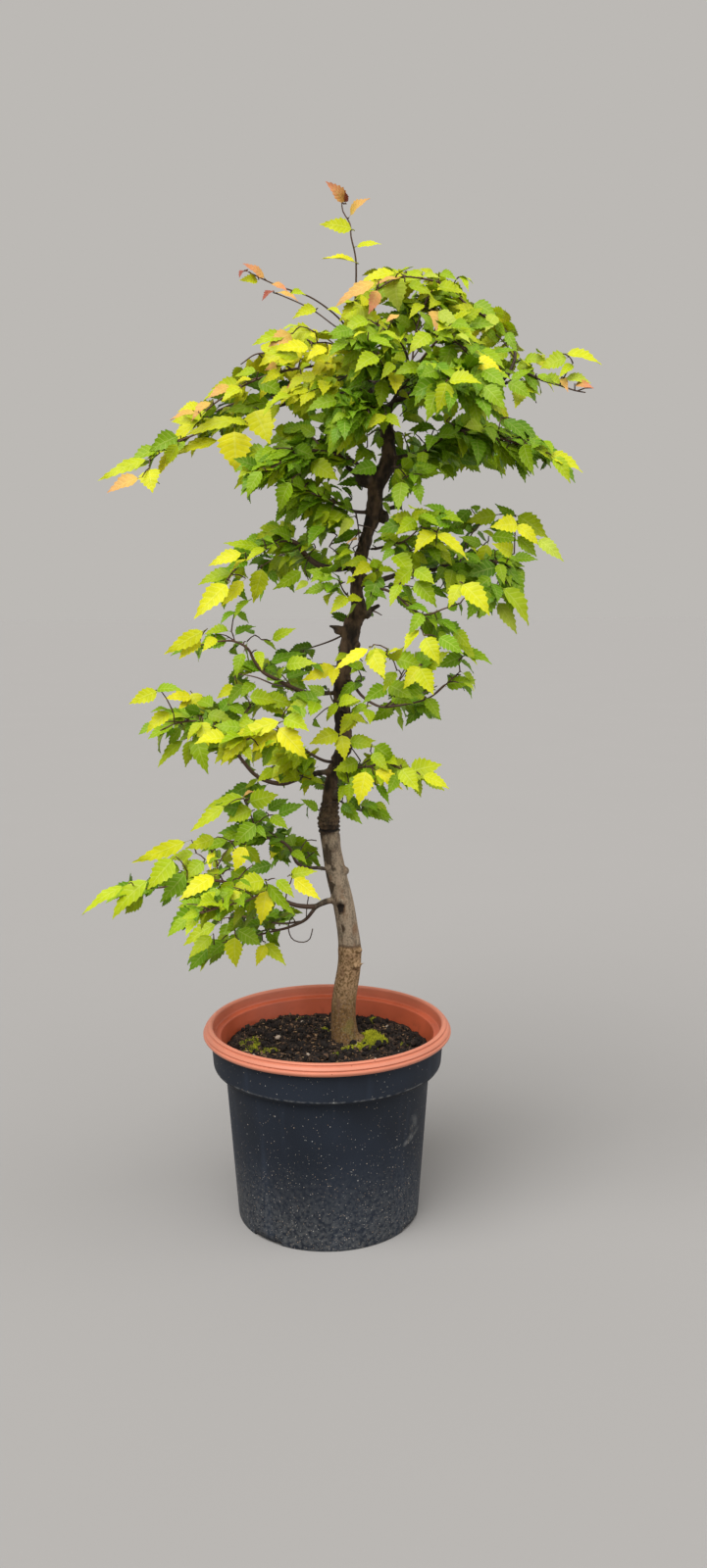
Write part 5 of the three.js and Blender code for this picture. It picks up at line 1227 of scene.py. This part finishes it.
class ZELKOVA_OT_soil(bpy.types.Operator):
    """Make the peat with its crumbs, pale fibres and small stones"""
    bl_idname = "zelkova.soil"
    bl_label = "Soil"

    def execute(self, context):
        look = context.scene.zelkova.soil
        rings, steps = 44, 160
        outline = [(SOIL_RADIUS * i / rings, SOIL_TOP) for i in range(rings + 1)] + SOIL_FOOT
        bm = spun([(radius, 0, height) for radius, height in outline], steps)
        for vert in bm.verts:
            if vert.co.z > SOIL_TOP - 1:
                vert.co.z = ground(vert.co.x, vert.co.y)
        peat = peat_finish("peat", look.peat, look.dry_peat)
        body = piece("soil_body", bm, peat, ["soil"])
        pale = [0.25 * (noise.noise(vert.co * 120) + 0.6) for vert in body.data.vertices]
        point_values(body.data, "pale", "FLOAT", np.clip(pale, 0, 1))
        generator = np.random.default_rng(11)
        crumbs = []
        for _ in range(look.crumbs):
            place = somewhere(generator, 5)
            sizes = (0.7 + 2.6 * generator.random() ** 3) * generator.uniform(0.7, 1.3, 3)
            crumbs.append((lying(generator, place, sizes), generator.random() ** 3.5))
        for _ in range(look.clumps):
            place = somewhere(generator, 9)
            sizes = generator.uniform(2.4, 5) * generator.uniform(0.7, 1.2, 3)
            crumbs.append((lying(generator, place, sizes), 0.5 * generator.random() ** 2))
        piece("soil_crumbs", scattered(ball(1), crumbs), peat, [], smooth=False)
        fibres = []
        for _ in range(look.fibres):
            place = somewhere(generator, 8)
            sizes = [generator.uniform(*span) for span in ((0.8, 3.4), (0.35, 0.8), (0.3, 0.6))]
            fibres.append((lying(generator, place, sizes, sink=-2.5), generator.random()))
        fibre = peat_finish("fibre", look.dry_peat, look.fibre)
        piece("soil_fibres", scattered(ball(1), fibres), fibre, [], smooth=False)
        stones = [lying(generator, (x, y), (size, size * 0.8, size * 0.65), sink=0.2)
                  for x, y, size in STONES]
        piece("soil_stones", swollen(ball(3), stones), stone_finish(look), [])
        return {"FINISHED"}


class ZELKOVA_OT_moss(bpy.types.Operator):
    """Make the moss cushions at the trunk's foot and the tufts on the soil"""
    bl_idname = "zelkova.moss"
    bl_label = "Moss"

    def execute(self, context):
        look = context.scene.zelkova.soil
        generator = np.random.default_rng(5)
        shoots = []
        for x, y, wide, deep, height, fresh in CUSHIONS:
            for _ in range(int(wide * deep * 4.2 * fresh)):
                radius, angle = generator.random() ** 0.6, generator.uniform(0, 2 * math.pi)
                cos, sin = math.cos(angle), math.sin(angle)
                ragged = 1 + 0.5 * noise.noise(Vector((x + 1.3 * cos, y + 1.3 * sin, 0)))
                px, py = x + wide * radius * ragged * cos, y + deep * radius * ragged * sin
                bumps = 0.75 + 0.5 * noise.noise(Vector((px, py, 3)) / 4)
                rise = height * (1 - radius ** 2) * bumps
                size = generator.uniform(0.3, 0.75)
                lean = Matrix.Rotation(generator.uniform(-0.8, 0.8), 4, "X")
                spin = Matrix.Rotation(generator.uniform(0, 2 * math.pi), 4, "Z")
                place = Matrix.Translation((px, py, ground(px, py) + rise * 0.75))
                tall = generator.uniform(0.9, 1.8) + rise * 0.35
                # Each shoot's paleness: its cushion's freshness, and darker towards the cushion's foot and on
                # its lower bumps as painted shade
                shade = fresh * (1.35 - radius ** 2) * bumps * generator.uniform(0.3, 1.2)
                shoots.append((place @ spin @ lean @ Matrix.Diagonal((size, size, tall, 1)), min(1, shade)))
        shoot = bmesh.new()
        bmesh.ops.create_cone(shoot, cap_ends=True, segments=4, radius1=1, radius2=0.3, depth=2)
        piece("moss_cushions", scattered(shoot, shoots), moss_finish(look), [], smooth=False)
        return {"FINISHED"}


# The trunk

# Heights in millimetres: where the bark gets rough, and between which the scar has rings and the wood swells
ROUGH_FROM, SCAR_RINGS, SWELLING = 412, (424, 458), (284, 300)
# How many times as deep the front sprays are as their rows say
DEEPENED = 1.9
# How many of the surface's points are measured at a time
BLOCK = 4000


def spray_lines(spray):
    """The points of a spray's stems, with their depths stretched from the root."""
    root = spray.stems[0].line[0][2]
    stretch = 1 if spray.back else DEEPENED
    lines = []
    for stem in spray.stems:
        points = [seen(x, z, root + (y - root) * stretch) for x, z, y in stem.line]
        lines.append([along(lines[0], stem.start), *points] if lines else points)
    return lines


def twig_radii(spray, points, stem):
    """The radii of a stem, which is thinner on the new shoots."""
    share = 0.6 if spray.thin else 1 if stem is spray.stems[0] else 0.8
    return tapered(points, stem.radius * share, 0.6)


def trunk_line(step):
    """Centres and radii of rings a step apart along the trunk."""
    return smooth_line([seen(*row[:3]) for row in TRUNK], [row[3] for row in TRUNK], step)


class ZELKOVA_OT_trunk(bpy.types.Operator):
    """Make the trunk with its knots, stubs and boughs as one grown surface with its bark relief"""
    bl_idname = "zelkova.trunk"
    bl_label = "Trunk"

    def execute(self, context):
        look = context.scene.zelkova.wood
        spine = trunk_line(6)
        bm = bmesh.new()
        add_limb(bm, spine, 18)
        for x, z, y, *sizes in KNOTS:
            place = Matrix.Translation(seen(x, z, y)) @ Matrix.Diagonal((*sizes, 1))
            bmesh.ops.create_icosphere(bm, subdivisions=3, radius=1, matrix=place)
        for root, way, reach, radius in STUBS:
            start = seen(*root)
            end = start + Vector(way).normalized() * (reach + 5)
            add_limb(bm, [(start, radius * 1.3), (start.lerp(end, 0.6), radius), (end, radius * 0.8)], 10)
        for rows, thick, thin in BOUGHS:
            points = [seen(*row) for row in rows]
            add_limb(bm, smooth_line(points, tapered(points, thick, thin), 5), 12)
        for spray in SPRAYS:
            points = spray_lines(spray)[0]
            end = spans_at(points, spray.wood)
            line = smooth_line(points, twig_radii(spray, points, spray.stems[0]), 4, 0, end)
            line[0] = (line[0][0], line[0][1] * 1.5)
            add_limb(bm, line, 10)
        mesh = shaped(bm, "REMESH", {"mode": "VOXEL", "voxel_size": look.voxel / MM})
        self.carve(mesh, spine, look.relief / MM)
        piece("trunk_wood", mesh, bark(look), ["trunk"])
        return {"FINISHED"}

    def carve(self, mesh, spine, depth):
        """Smooths the joined surface, then gives it its bark."""
        bm = bmesh.new()
        bm.from_mesh(mesh)
        for _ in range(2):
            bmesh.ops.smooth_vert(bm, verts=bm.verts, factor=0.5, use_axis_x=True, use_axis_y=True,
                                  use_axis_z=True)
        bm.normal_update()
        centres = np.array([centre for centre, _ in spine])
        girths = np.array([radius for _, radius in spine])
        co = np.array([vert.co for vert in bm.verts])
        away = []
        for start in range(0, len(co), BLOCK):
            reach = np.linalg.norm(co[start:start + BLOCK, None] - centres[None], axis=2)
            away.append((reach / girths).min(axis=1))
        branch = np.clip((np.concatenate(away) - 1.35) / 0.5, 0, 1)
        crevice_shade = []
        for vert, off in zip(bm.verts, branch):
            place = vert.co.copy()
            rough = max(0.1, min(1, (place.z - ROUGH_FROM) / 30)) * (1 - 0.6 * off)
            plates = noise.fractal(Vector((place.x / 5, place.y / 5, place.z / 11)), 0.8, 2.1, 3)
            swell = noise.noise(place / 14) * 0.9 * (1 - off)
            rings = 0.0
            if SCAR_RINGS[0] < place.z < SCAR_RINGS[1] and off < 0.5:
                rings = 0.9 * math.sin(place.z * 1.3 + 2.5 * noise.noise(place / 9))
            if SWELLING[0] < place.z < SWELLING[1] and off < 0.5:
                share = (place.z - SWELLING[0]) / (SWELLING[1] - SWELLING[0])
                rings = 0.5 * math.sin(share * math.pi) ** 2
            vert.co += vert.normal * (plates * depth * rough + swell * rough + rings)
            # How deep a place lies in the bark's crevices, for their painted shade
            crevice_shade.append(min(1, max(0, -plates * 1.3 - 0.25)) * rough)
        bm.to_mesh(mesh)
        bm.free()
        point_values(mesh, "branch", "FLOAT", branch)
        point_values(mesh, "crevice_shade", "FLOAT", crevice_shade)


# Twigs and leaves

# A leaf has its foot, its tip, the way its upper side looks and how fresh it is. One of the front view also
# has its width, and its tone where that is one of NEW.
Leaf = namedtuple("Leaf", "root tip face youth tone wide", defaults=(None, 0))

UP = Vector((0, 0, 1))
# The depths in millimetres that no leaf's tip passes, and the room that the front view's feet keep to them
DEPTHS = (cad_box[0].y / MM - 14, cad_box[1].y / MM + 14)
ROOM = 30
# How fresh the leaves of the back sprays are
SHADED = 0.3
# How near the leaves of the front view the filling stays there, and the twigs' ends, in millimetres
MARGIN, TWIG_MARGIN = 8.5, 2
# How many spans carry no leaves at the start of a spray's first stem, past its wood, and of a side stem
LEAFLESS_MAIN, LEAFLESS_SIDE = 0.1, 0.4
# The turn from one leaf of a stem to the next, so that none stand close together
GOLDEN = 0.618
# The front view's leaves: up to which tone they are dark, and from which one they lean to the front
DARK, BRIGHT = 4, 6.9
# How far behind its carrier a leaf's foot may be, by the tone up to which that holds, or before it under 0
HANGS = ((DARK, 0, 26), (6.5, -26, 6), (math.inf, -48, -16))
# How near its edge a leaf's middle counts as over the trunk: of the front view's leaves, and of the filling
OVER_TRUNK, FILLING_OVER = 8, 9
# The depths at which leaves hang behind and before the trunk, and the height from which all hang before it
BEHIND, BEFORE, COVERED = 26, -20, 850
# A leaf's width by its length, and at most: for a slender leaf, a broad one and one nearly as broad as long
SLENDER, BROAD, ROUND = (0.48, 14.5), (0.6, 20.5), (0.85, 30)
NARROWEST = 7.5
# A leaf that looks shorter than this in the front view leans towards it or away
FORESHORTENED = 30
# The leaf's stalk by its length, and how soon its width swells and how long it tapers
STALK = 0.11
BELLY, TAPER = 0.6, 1.4
# How far the teeth stand out, how far the notches between them go in, and how far the teeth point forwards
TOOTH, NICK, FORWARD = 1.1, 0.88, 0.03


def drawn(seed):
    """Repeatable draws between 0 and 1."""
    state = seed
    while True:
        state = (state * 1664525 + 1013904223) % 2 ** 32
        yield state / 2 ** 32


def ranged(draw, low, high):
    """The next draw, between two values."""
    return low + (high - low) * next(draw)


def outward(place):
    """The level direction away from the tree's middle."""
    return Vector((place.x - EYE.x, place.y, 0)).normalized()


def hanging_face(place, draw, slant):
    """The way a leaf's upper side looks: up, outwards by its slant and to the nearer side, with some play."""
    play = Vector((ranged(draw, -0.5, 0.5), ranged(draw, -0.4, 0.4), 0))
    near = Vector((0, -0.75 if place.y < 25 else 0.4, 0))
    return outward(place) * slant + play + near + UP * ranged(draw, 0.3, 0.8)


def front_place(place):
    """Where the front view shows a place, as x and z in the plane of the pot's axis."""
    reach = 1 - place.y / EYE.y
    return Vector((EYE.x + (place.x - EYE.x) / reach, EYE.z + (place.z - EYE.z) / reach))


def shown(corner, x, y):
    """Where a window of the front view shows a place, as x and z in the plane of the pot's axis."""
    left, top, enlarged = corner
    right, up = left + x / enlarged - WIDE / 2, HIGH / 2 - top - y / enlarged
    ray = TILT @ Vector((right, up, -HIGH * LENS / SENSOR))
    reach = -EYE.y / ray.y
    return Vector((EYE.x + ray.x * reach, EYE.z + ray.z * reach))


def stem_nodes():
    """Places along the stems that can carry leaves: as the front view shows them, their own, the spray, and
    how freely the leaves stand off to the front or the back."""
    nodes = []
    for number, spray in enumerate(SPRAYS):
        for i, points in enumerate(spray_lines(spray)):
            if spray.back:
                continue
            first = spans_at(points, spray.wood + 2) if i == 0 else LEAFLESS_SIDE
            last = len(points) - 1
            for step in range(8 * last + 1):
                if step / 8 >= first:
                    place = curve_at(points, step / 8)
                    nodes.append((front_place(place), place, number, 0.15 if spray.thin else 1))
    return nodes


def edge_distance(spot, trunk):
    """How far the front view shows a place from the trunk's edge. The trunk is given as centres and radii."""
    return min((spot - centre).length - radius for centre, radius in trunk)


def hung_leaf(foot, tip, tone, depth, draw):
    """A leaf of the front view whose foot is at a depth."""
    size = (tip - foot).length
    short = math.sqrt(max(0, FORESHORTENED ** 2 - size ** 2)) * 0.7
    lean = ranged(draw, -0.45, 0.3) * size
    lean = math.copysign(max(abs(lean), short), lean)
    if tone > BRIGHT:
        lean = -abs(lean)
    start, end = seen(*foot, depth), seen(*tip, depth + lean)
    broad = tone % 1 > 0
    turn, rise = (0.35, ranged(draw, 0.2, 0.8)) if broad else (0.8, ranged(draw, 0.1, 1.3))
    face = Vector((ranged(draw, -turn, turn), -0.9, rise))
    share, most = ROUND if tone % 1 > 0.6 else BROAD if broad else SLENDER
    wide = max(NARROWEST, min(most, size * share) * ranged(draw, 0.86, 1.1))
    named = NEW[int(tone) - 10] if tone >= 10 else None
    return Leaf(start + (start - end) * STALK, end, face, min(1, tone / 9), named, wide)


def hung_leaves(trunk):
    """The front view's leaves and the fine twigs that carry them, for each spray. A leaf hangs from the stem
    or the leaf's foot that is nearest in that view, bright ones to the front and dark ones behind."""
    draw = drawn(20260)
    nodes = stem_nodes()
    rows = [(shown(window, *row[:2]), shown(window, *row[2:4]), row[4])
            for window, rows in LEAVES for row in rows]
    stems = np.array([node[0] for node in nodes])
    rows.sort(key=lambda row: np.linalg.norm(stems - np.array(row[0]), axis=1).min())
    hung = [([], []) for _ in SPRAYS]
    for foot, tip, tone in rows:
        _, carrier, number, freedom = min(nodes, key=lambda node: (node[0] - foot).length)
        hang = next(span for most, *span in HANGS if tone < most)
        depth = carrier.y + freedom * ranged(draw, *hang)
        if edge_distance(foot.lerp(tip, 0.5), trunk) < OVER_TRUNK:
            depth = max(depth, BEHIND) if tone < DARK and foot.y < COVERED else min(depth, BEFORE)
        depth = max(DEPTHS[0] + ROOM, min(DEPTHS[1] - ROOM, depth))
        leaf = hung_leaf(foot, tip, tone, depth, draw)
        leaves, twigs = hung[number]
        leaves.append(leaf)
        gap = (leaf.root - carrier).length
        if gap > 2:
            twigs.append([carrier, carrier.lerp(leaf.root, 0.5) + UP * 0.08 * gap, leaf.root])
        nodes.append((front_place(leaf.root), leaf.root, number, 0.4 * freedom))
    return hung


def hidden(place, leaves, margin):
    """Whether the front view shows a place on the leaves, given as their feet and tips, or that near them."""
    feet, tips = leaves
    way = tips - feet
    away = np.array(front_place(place)) - feet
    share = np.clip((away * way).sum(1) / (way ** 2).sum(1), 0, 1)
    return np.linalg.norm(away - way * share[:, None], axis=1).min() < margin


def before_trunk(leaf, trunk):
    """Whether a leaf hangs in front of the trunk where the front view shows its bark."""
    middle = leaf.root.lerp(leaf.tip, 0.5)
    spot = front_place(middle)
    return edge_distance(spot, trunk) < FILLING_OVER and middle.y < 0 and spot.y < COVERED


def ranked_leaves(stem, points, number, first, look, fresh):
    """The leaves that stand along a stem in two ranks."""
    draw = drawn(7919 * number + 31)
    last = len(points) - 1
    for i in range(stem.ranks):
        t = first + (last - first) * (0.1 + 0.88 * (((i + 1) * GOLDEN) % 1))
        place = along(points, t)
        way = (along(points, min(last, t + 0.3)) - along(points, t - 0.3)).normalized()
        side = Vector((way.y, -way.x, 0)).normalized() * (1 if i % 2 == 0 else -1)
        reach = way * 0.5 + side * ranged(draw, 0.6, 1) + UP * ranged(draw, -0.85, 0.15)
        tip = place + reach.normalized() * look.usual / MM * ranged(draw, 0.6, 0.95)
        face = hanging_face(place, draw, 0.4)
        yield Leaf(curve_at(points, t), tip, face, fresh + ranged(draw, -0.15, 0.15))


def twig_leaves(twig, look, fresh, draw):
    """The leaves of one fine twig, in two ranks and with one at its end."""
    size = sum((b - a).length for a, b in zip(twig, twig[1:]))
    count = 1 + int(size / 9)
    last = len(twig) - 1
    for i in range(count):
        t = last * (i + 1) / count
        place = along(twig, t)
        way = (along(twig, t) - along(twig, max(0, t - 0.4))).normalized()
        side = way.cross(UP).normalized() * (1 if i % 2 else -1)
        splay = 0.15 if i == count - 1 else ranged(draw, 0.5, 1)
        reach = way * 0.7 + side * splay + UP * ranged(draw, -0.95, 0.05)
        tip = place + reach.normalized() * look.usual / MM * ranged(draw, 0.48, 0.95)
        high = max(0, min(0.2, (place.z - 870) / 300))
        youth = fresh * 1.15 - 0.24 + high + ranged(draw, -0.18, 0.14) + 0.1 * i / count
        yield Leaf(place, tip, hanging_face(place, draw, 0.5), youth)


def side_twigs(stem, points, number, first, look, fresh):
    """Fine twigs that fill the spray in behind, each with its leaves. Some have died back and are bare."""
    draw = drawn(7919 * number + 577)
    last = len(points) - 1
    leafy = sum((b - a).length for a, b in zip(points, points[1:])) * (1 - first / last)
    count = round(stem.fill * leafy / (look.spacing / MM))
    twigs = []
    leaves = []
    for i in range(count):
        share = (i + ranged(draw, 0.2, 0.8)) / count
        t = first + (last - first) * share
        way = (curve_at(points, min(last, t + 0.2)) - curve_at(points, max(0, t - 0.2))).normalized()
        side = way.cross(UP).normalized()
        side = side * (1 if side.y > 0 or i % 5 == 0 else -1)
        reach = way * ranged(draw, 0.5, 1.2) + side * ranged(draw, 0.4, 0.95) + UP * ranged(draw, -0.6, 0.6)
        size = ranged(draw, 12, 50) * (1 - 0.5 * share)
        root = curve_at(points, t)
        end = root + reach.normalized() * size
        twig = [root, root.lerp(end, 0.5) + UP * 0.06 * size, end - UP * 0.05 * size]
        if next(draw) < 0.14:
            twigs.append([root, *(root.lerp(place, 0.4) for place in twig[1:])])
            continue
        twigs.append(twig)
        leaves += twig_leaves(twig, look, fresh, draw)
    return twigs, leaves


def half_width(v):
    """Half a leaf's width at a place from its foot, 0, to its tip, 1, where the widest is half a unit."""
    widest = (BELLY / (BELLY + TAPER)) ** BELLY * (TAPER / (BELLY + TAPER)) ** TAPER
    return 0.5 * v ** BELLY * (1 - v) ** TAPER / widest


def flat_blade(look):
    """One flat leaf of unit length and width with a toothed edge and a stalk, for all leaves to bend."""
    rows = 2 * look.teeth
    bm = bmesh.new()
    bmesh.ops.create_grid(bm, x_segments=2, y_segments=rows, size=0.5)
    for vert in bm.verts:
        row = round((vert.co.y + 0.5) * rows)
        side = round(vert.co.x * 2)
        v = row / rows
        tooth = row % 2 == 1 and side != 0
        vert.co = (side * half_width(v) * (TOOTH if tooth else NICK), v + (FORWARD if tooth else 0), 0)
    lower = bmesh.ops.duplicate(bm, geom=bm.verts[:] + bm.edges[:] + bm.faces[:])["geom"]
    bmesh.ops.reverse_faces(bm, faces=[item for item in lower if isinstance(item, bmesh.types.BMFace)])
    below = {item for item in lower if isinstance(item, bmesh.types.BMVert)}
    for vert in bm.verts:
        if abs(vert.co.x) < 1e-6 and 0 < vert.co.y < 1:
            vert.co.z = -0.5 if vert in below else 0.5
    bmesh.ops.remove_doubles(bm, verts=bm.verts, dist=1e-4)
    for edge in bm.edges:
        edge.smooth = any(abs(vert.co.z) > 0.1 for vert in edge.verts)
    turn = Matrix.Translation((0, (0.04 - STALK) / 2, 0)) @ Matrix.Rotation(-math.pi / 2, 4, "X")
    bmesh.ops.create_cone(bm, cap_ends=True, segments=3, radius1=0.03, radius2=0.02, depth=0.04 + STALK,
                          matrix=turn)
    uv = bm.loops.layers.uv.new("UVMap")
    for face in bm.faces:
        for loop in face.loops:
            x, y, _ = loop.vert.co
            v = min(1, max(0, y))
            loop[uv].uv = (0.5 + 0.5 * max(-1, min(1, x / max(half_width(v), 0.02))), v)
    return as_mesh(bm, "flat_blade")


def bent(flat, leaf, look, draw):
    """The blade's vertices, folded along the rib, arched, twisted and put in their place."""
    reach = leaf.tip - leaf.root
    size = reach.length
    forward = reach.normalized()
    up = (leaf.face - forward * leaf.face.dot(forward)).normalized()
    side = forward.cross(up)
    x, y, z = flat.T
    share = (y + STALK) / (1 + STALK)
    across = x * (leaf.wide or look.width * size * ranged(draw, 0.9, 1.14))
    fold = ranged(draw, 0.06, 0.46)
    arch = ranged(draw, 0.03, 0.12)
    lift = z * look.thickness / MM + np.abs(across) * fold + arch * size * 4 * share * (1 - share)
    ripple = np.sin(share * 15 + np.sign(x) * ranged(draw, 0, 3))
    lift = lift + np.where(np.abs(x) > 0.01, 0.015 * size * ripple, 0)
    curl = 0.6 * (next(draw) - 0.5) * (share - 0.3)
    across = across * np.where((y < 0.03) & (np.abs(z) < 0.02), 0.35, 1.0)
    sideways = across * np.cos(curl) - lift * np.sin(curl)
    upward = across * np.sin(curl) + lift * np.cos(curl)
    return (np.array(leaf.root) + np.outer(share * size, forward) + np.outer(sideways, side)
            + np.outer(upward, up))


def tint_of(leaf, look, draw):
    """The leaf's colours at its foot and at its tip."""
    if leaf.tone:
        end = Vector(getattr(look, leaf.tone))
        if leaf.tone == "red":
            return end, end
        return end.lerp(Vector(look.yellow if leaf.tone in ("orange", "salmon") else look.lime), 0.35), end
    youth = leaf.youth + ranged(draw, -0.07, 0.07)
    ramp = [Vector(c) for c in (look.deep, look.green, look.lime, look.yellow)]
    place = max(0, min(2.999, youth * 3))
    tone = ramp[int(place)].lerp(ramp[int(place) + 1], place - int(place))
    return tone, tone.lerp(Vector(look.yellow), 0.3 if youth > 0.55 else 0.06)


def blades(leaves, look, seed):
    """One mesh that holds all the leaves of a spray, each with its own tint."""
    flat_mesh = bpy.data.meshes.get("flat_blade") or flat_blade(look)
    flat = places(flat_mesh)
    mesh = repeated(flat_mesh, len(leaves), "blades")
    draw = drawn(seed)
    share = np.clip(flat[:, 1], 0, 1)[:, None]
    placed = []
    tints = []
    for leaf in leaves:
        placed.append(bent(flat, leaf, look, draw))
        foot, tip = tint_of(leaf, look, draw)
        rgb = np.array(foot) * (1 - share) + np.array(tip) * share
        tints.append(np.hstack([rgb, np.ones((len(flat), 1))]))
    move_to(mesh, np.concatenate(placed))
    point_values(mesh, "tint", "FLOAT_COLOR", np.concatenate(tints))
    return mesh


class ZELKOVA_OT_sprays(bpy.types.Operator):
    """Make each leafy spray: its twigs, and its serrated leaves"""
    bl_idname = "zelkova.sprays"
    bl_label = "Sprays"

    def execute(self, context):
        looks = context.scene.zelkova
        self.trunk = [(front_place(centre), radius) for centre, radius in trunk_line(12)]
        self.hung = hung_leaves(self.trunk)
        ends = [(front_place(leaf.root), front_place(leaf.tip)) for leaves, _ in self.hung for leaf in leaves]
        self.ends = [np.array(places) for places in zip(*ends)]
        wood, skin = twig_bark(looks.wood), leaf_skin(looks.leaf)
        for number, spray in enumerate(SPRAYS):
            self.grow(spray, number, looks.leaf, wood, skin)
        bpy.data.meshes.remove(bpy.data.meshes["flat_blade"])
        return {"FINISHED"}

    def grow(self, spray, number, look, wood, skin):
        """Makes the two pieces of a spray: its twigs and its leaves."""
        fresh = SHADED if spray.back else spray.fresh
        lines = spray_lines(spray)
        start = spans_at(lines[0], max(spray.wood + 0.3, spray.bare))
        bm = bmesh.new()
        leaves, twigs = self.hung[number]
        for i, (stem, points) in enumerate(zip(spray.stems, lines)):
            first = start + LEAFLESS_MAIN if i == 0 else LEAFLESS_SIDE
            begin = spans_at(points, spray.wood - 1) if i == 0 else 0
            add_limb(bm, smooth_line(points, twig_radii(spray, points, stem), 5, begin), 7)
            place = 10 * number + i
            fine, filling = side_twigs(stem, points, place, first, look, fresh)
            filling += ranked_leaves(stem, points, place, first, look, fresh)
            leaves += [leaf for leaf in filling if hidden(leaf.tip, self.ends, MARGIN)
                       and hidden(leaf.root.lerp(leaf.tip, 0.4), self.ends, MARGIN)
                       and not before_trunk(leaf, self.trunk)]
            twigs += [twig for twig in fine if hidden(twig[-1], self.ends, TWIG_MARGIN)]
        for twig in twigs:
            add_limb(bm, smooth_line(twig, tapered(twig, 0.8, 0.5), 7), 5)
        leaves = [leaf for leaf in leaves if DEPTHS[0] < leaf.tip.y < DEPTHS[1]]
        young = [min(1, (vert.co - lines[0][0]).length / 150) for vert in bm.verts]
        twigs = piece(spray.name + "_twigs", bm, wood, [])
        point_values(twigs.data, "young", "FLOAT", young)
        piece(spray.name + "_leaves", blades(leaves, look, 31 * number + 7), skin, [spray.name])


# The stage

# The soft studio lights: where they shine from, their strength and how wide they are in degrees
LIGHTS = {"key": ((-0.6, -0.9, 1.5), 3.6, 50), "fill": ((1.2, -0.7, 0.9), 1.6, 80)}


class ZELKOVA_OT_stage(bpy.types.Operator):
    """Make the pale floor, the soft studio light and the front view's camera"""
    bl_idname = "zelkova.stage"
    bl_label = "Stage"

    def execute(self, context):
        look = context.scene.zelkova.stage
        bm = bmesh.new()
        bmesh.ops.create_grid(bm, x_segments=1, y_segments=1, size=30)
        floor = in_scene("floor", as_mesh(bm, "floor"))
        finish = Finish("floor", 0.9, 0.0)
        finish.base(finish.mix(finish.noise(3, 2), scaled(look.floor, 0.99), scaled(look.floor, 1.01)))
        floor.data.materials.append(finish.material)
        world = bpy.data.worlds.new("studio")
        world.use_nodes = True
        world.node_tree.nodes["Background"].inputs["Color"].default_value = (*look.sky, 1)
        world.node_tree.nodes["Background"].inputs["Strength"].default_value = 1.0
        context.scene.world = world
        for name, (place, power, spread) in LIGHTS.items():
            light = in_scene(name, bpy.data.lights.new(name, "SUN"))
            light.data.energy = power
            light.data.angle = math.radians(spread)
            light.matrix_world = Vector(place).to_track_quat("Z", "Y").to_matrix().to_4x4()
        camera = in_scene("front", bpy.data.cameras.new("front"))
        camera.data.lens = LENS
        camera.data.sensor_width = SENSOR
        camera.matrix_world = Matrix.Translation(CAMERA) @ TILT.to_4x4()
        context.scene.camera = camera
        context.scene.view_settings.view_transform = "Standard"
        return {"FINISHED"}


OPERATORS = (ZELKOVA_OT_stage, ZELKOVA_OT_nursery_pot, ZELKOVA_OT_inner_pot, ZELKOVA_OT_soil,
             ZELKOVA_OT_moss, ZELKOVA_OT_trunk, ZELKOVA_OT_sprays)


class ZELKOVA_PT_panel(bpy.types.Panel):
    """The bonsai's sizes and colours, and the pieces to make from them"""
    bl_idname = "ZELKOVA_PT_panel"
    bl_label = "Zelkova bonsai"
    bl_space_type = "VIEW_3D"
    bl_region_type = "UI"
    bl_category = "Zelkova"

    def draw(self, context):
        for name, look in LOOKS.items():
            box = self.layout.box()
            for key in look.__annotations__:
                box.prop(getattr(context.scene.zelkova, name), key)
        for operator in OPERATORS:
            self.layout.operator(operator.bl_idname)


CLASSES = (*LOOKS.values(), Looks, *OPERATORS, ZELKOVA_PT_panel)


def register():
    for cls in CLASSES:
        bpy.utils.register_class(cls)
    bpy.types.Scene.zelkova = PointerProperty(type=Looks)


def unregister():
    del bpy.types.Scene.zelkova
    for cls in reversed(CLASSES):
        bpy.utils.unregister_class(cls)


def main():
    register()
    bpy.ops.zelkova.stage()
    bpy.ops.zelkova.nursery_pot()
    bpy.ops.zelkova.inner_pot()
    bpy.ops.zelkova.soil()
    bpy.ops.zelkova.moss()
    bpy.ops.zelkova.trunk()
    bpy.ops.zelkova.sprays()


if __name__ == "__main__":
    main()
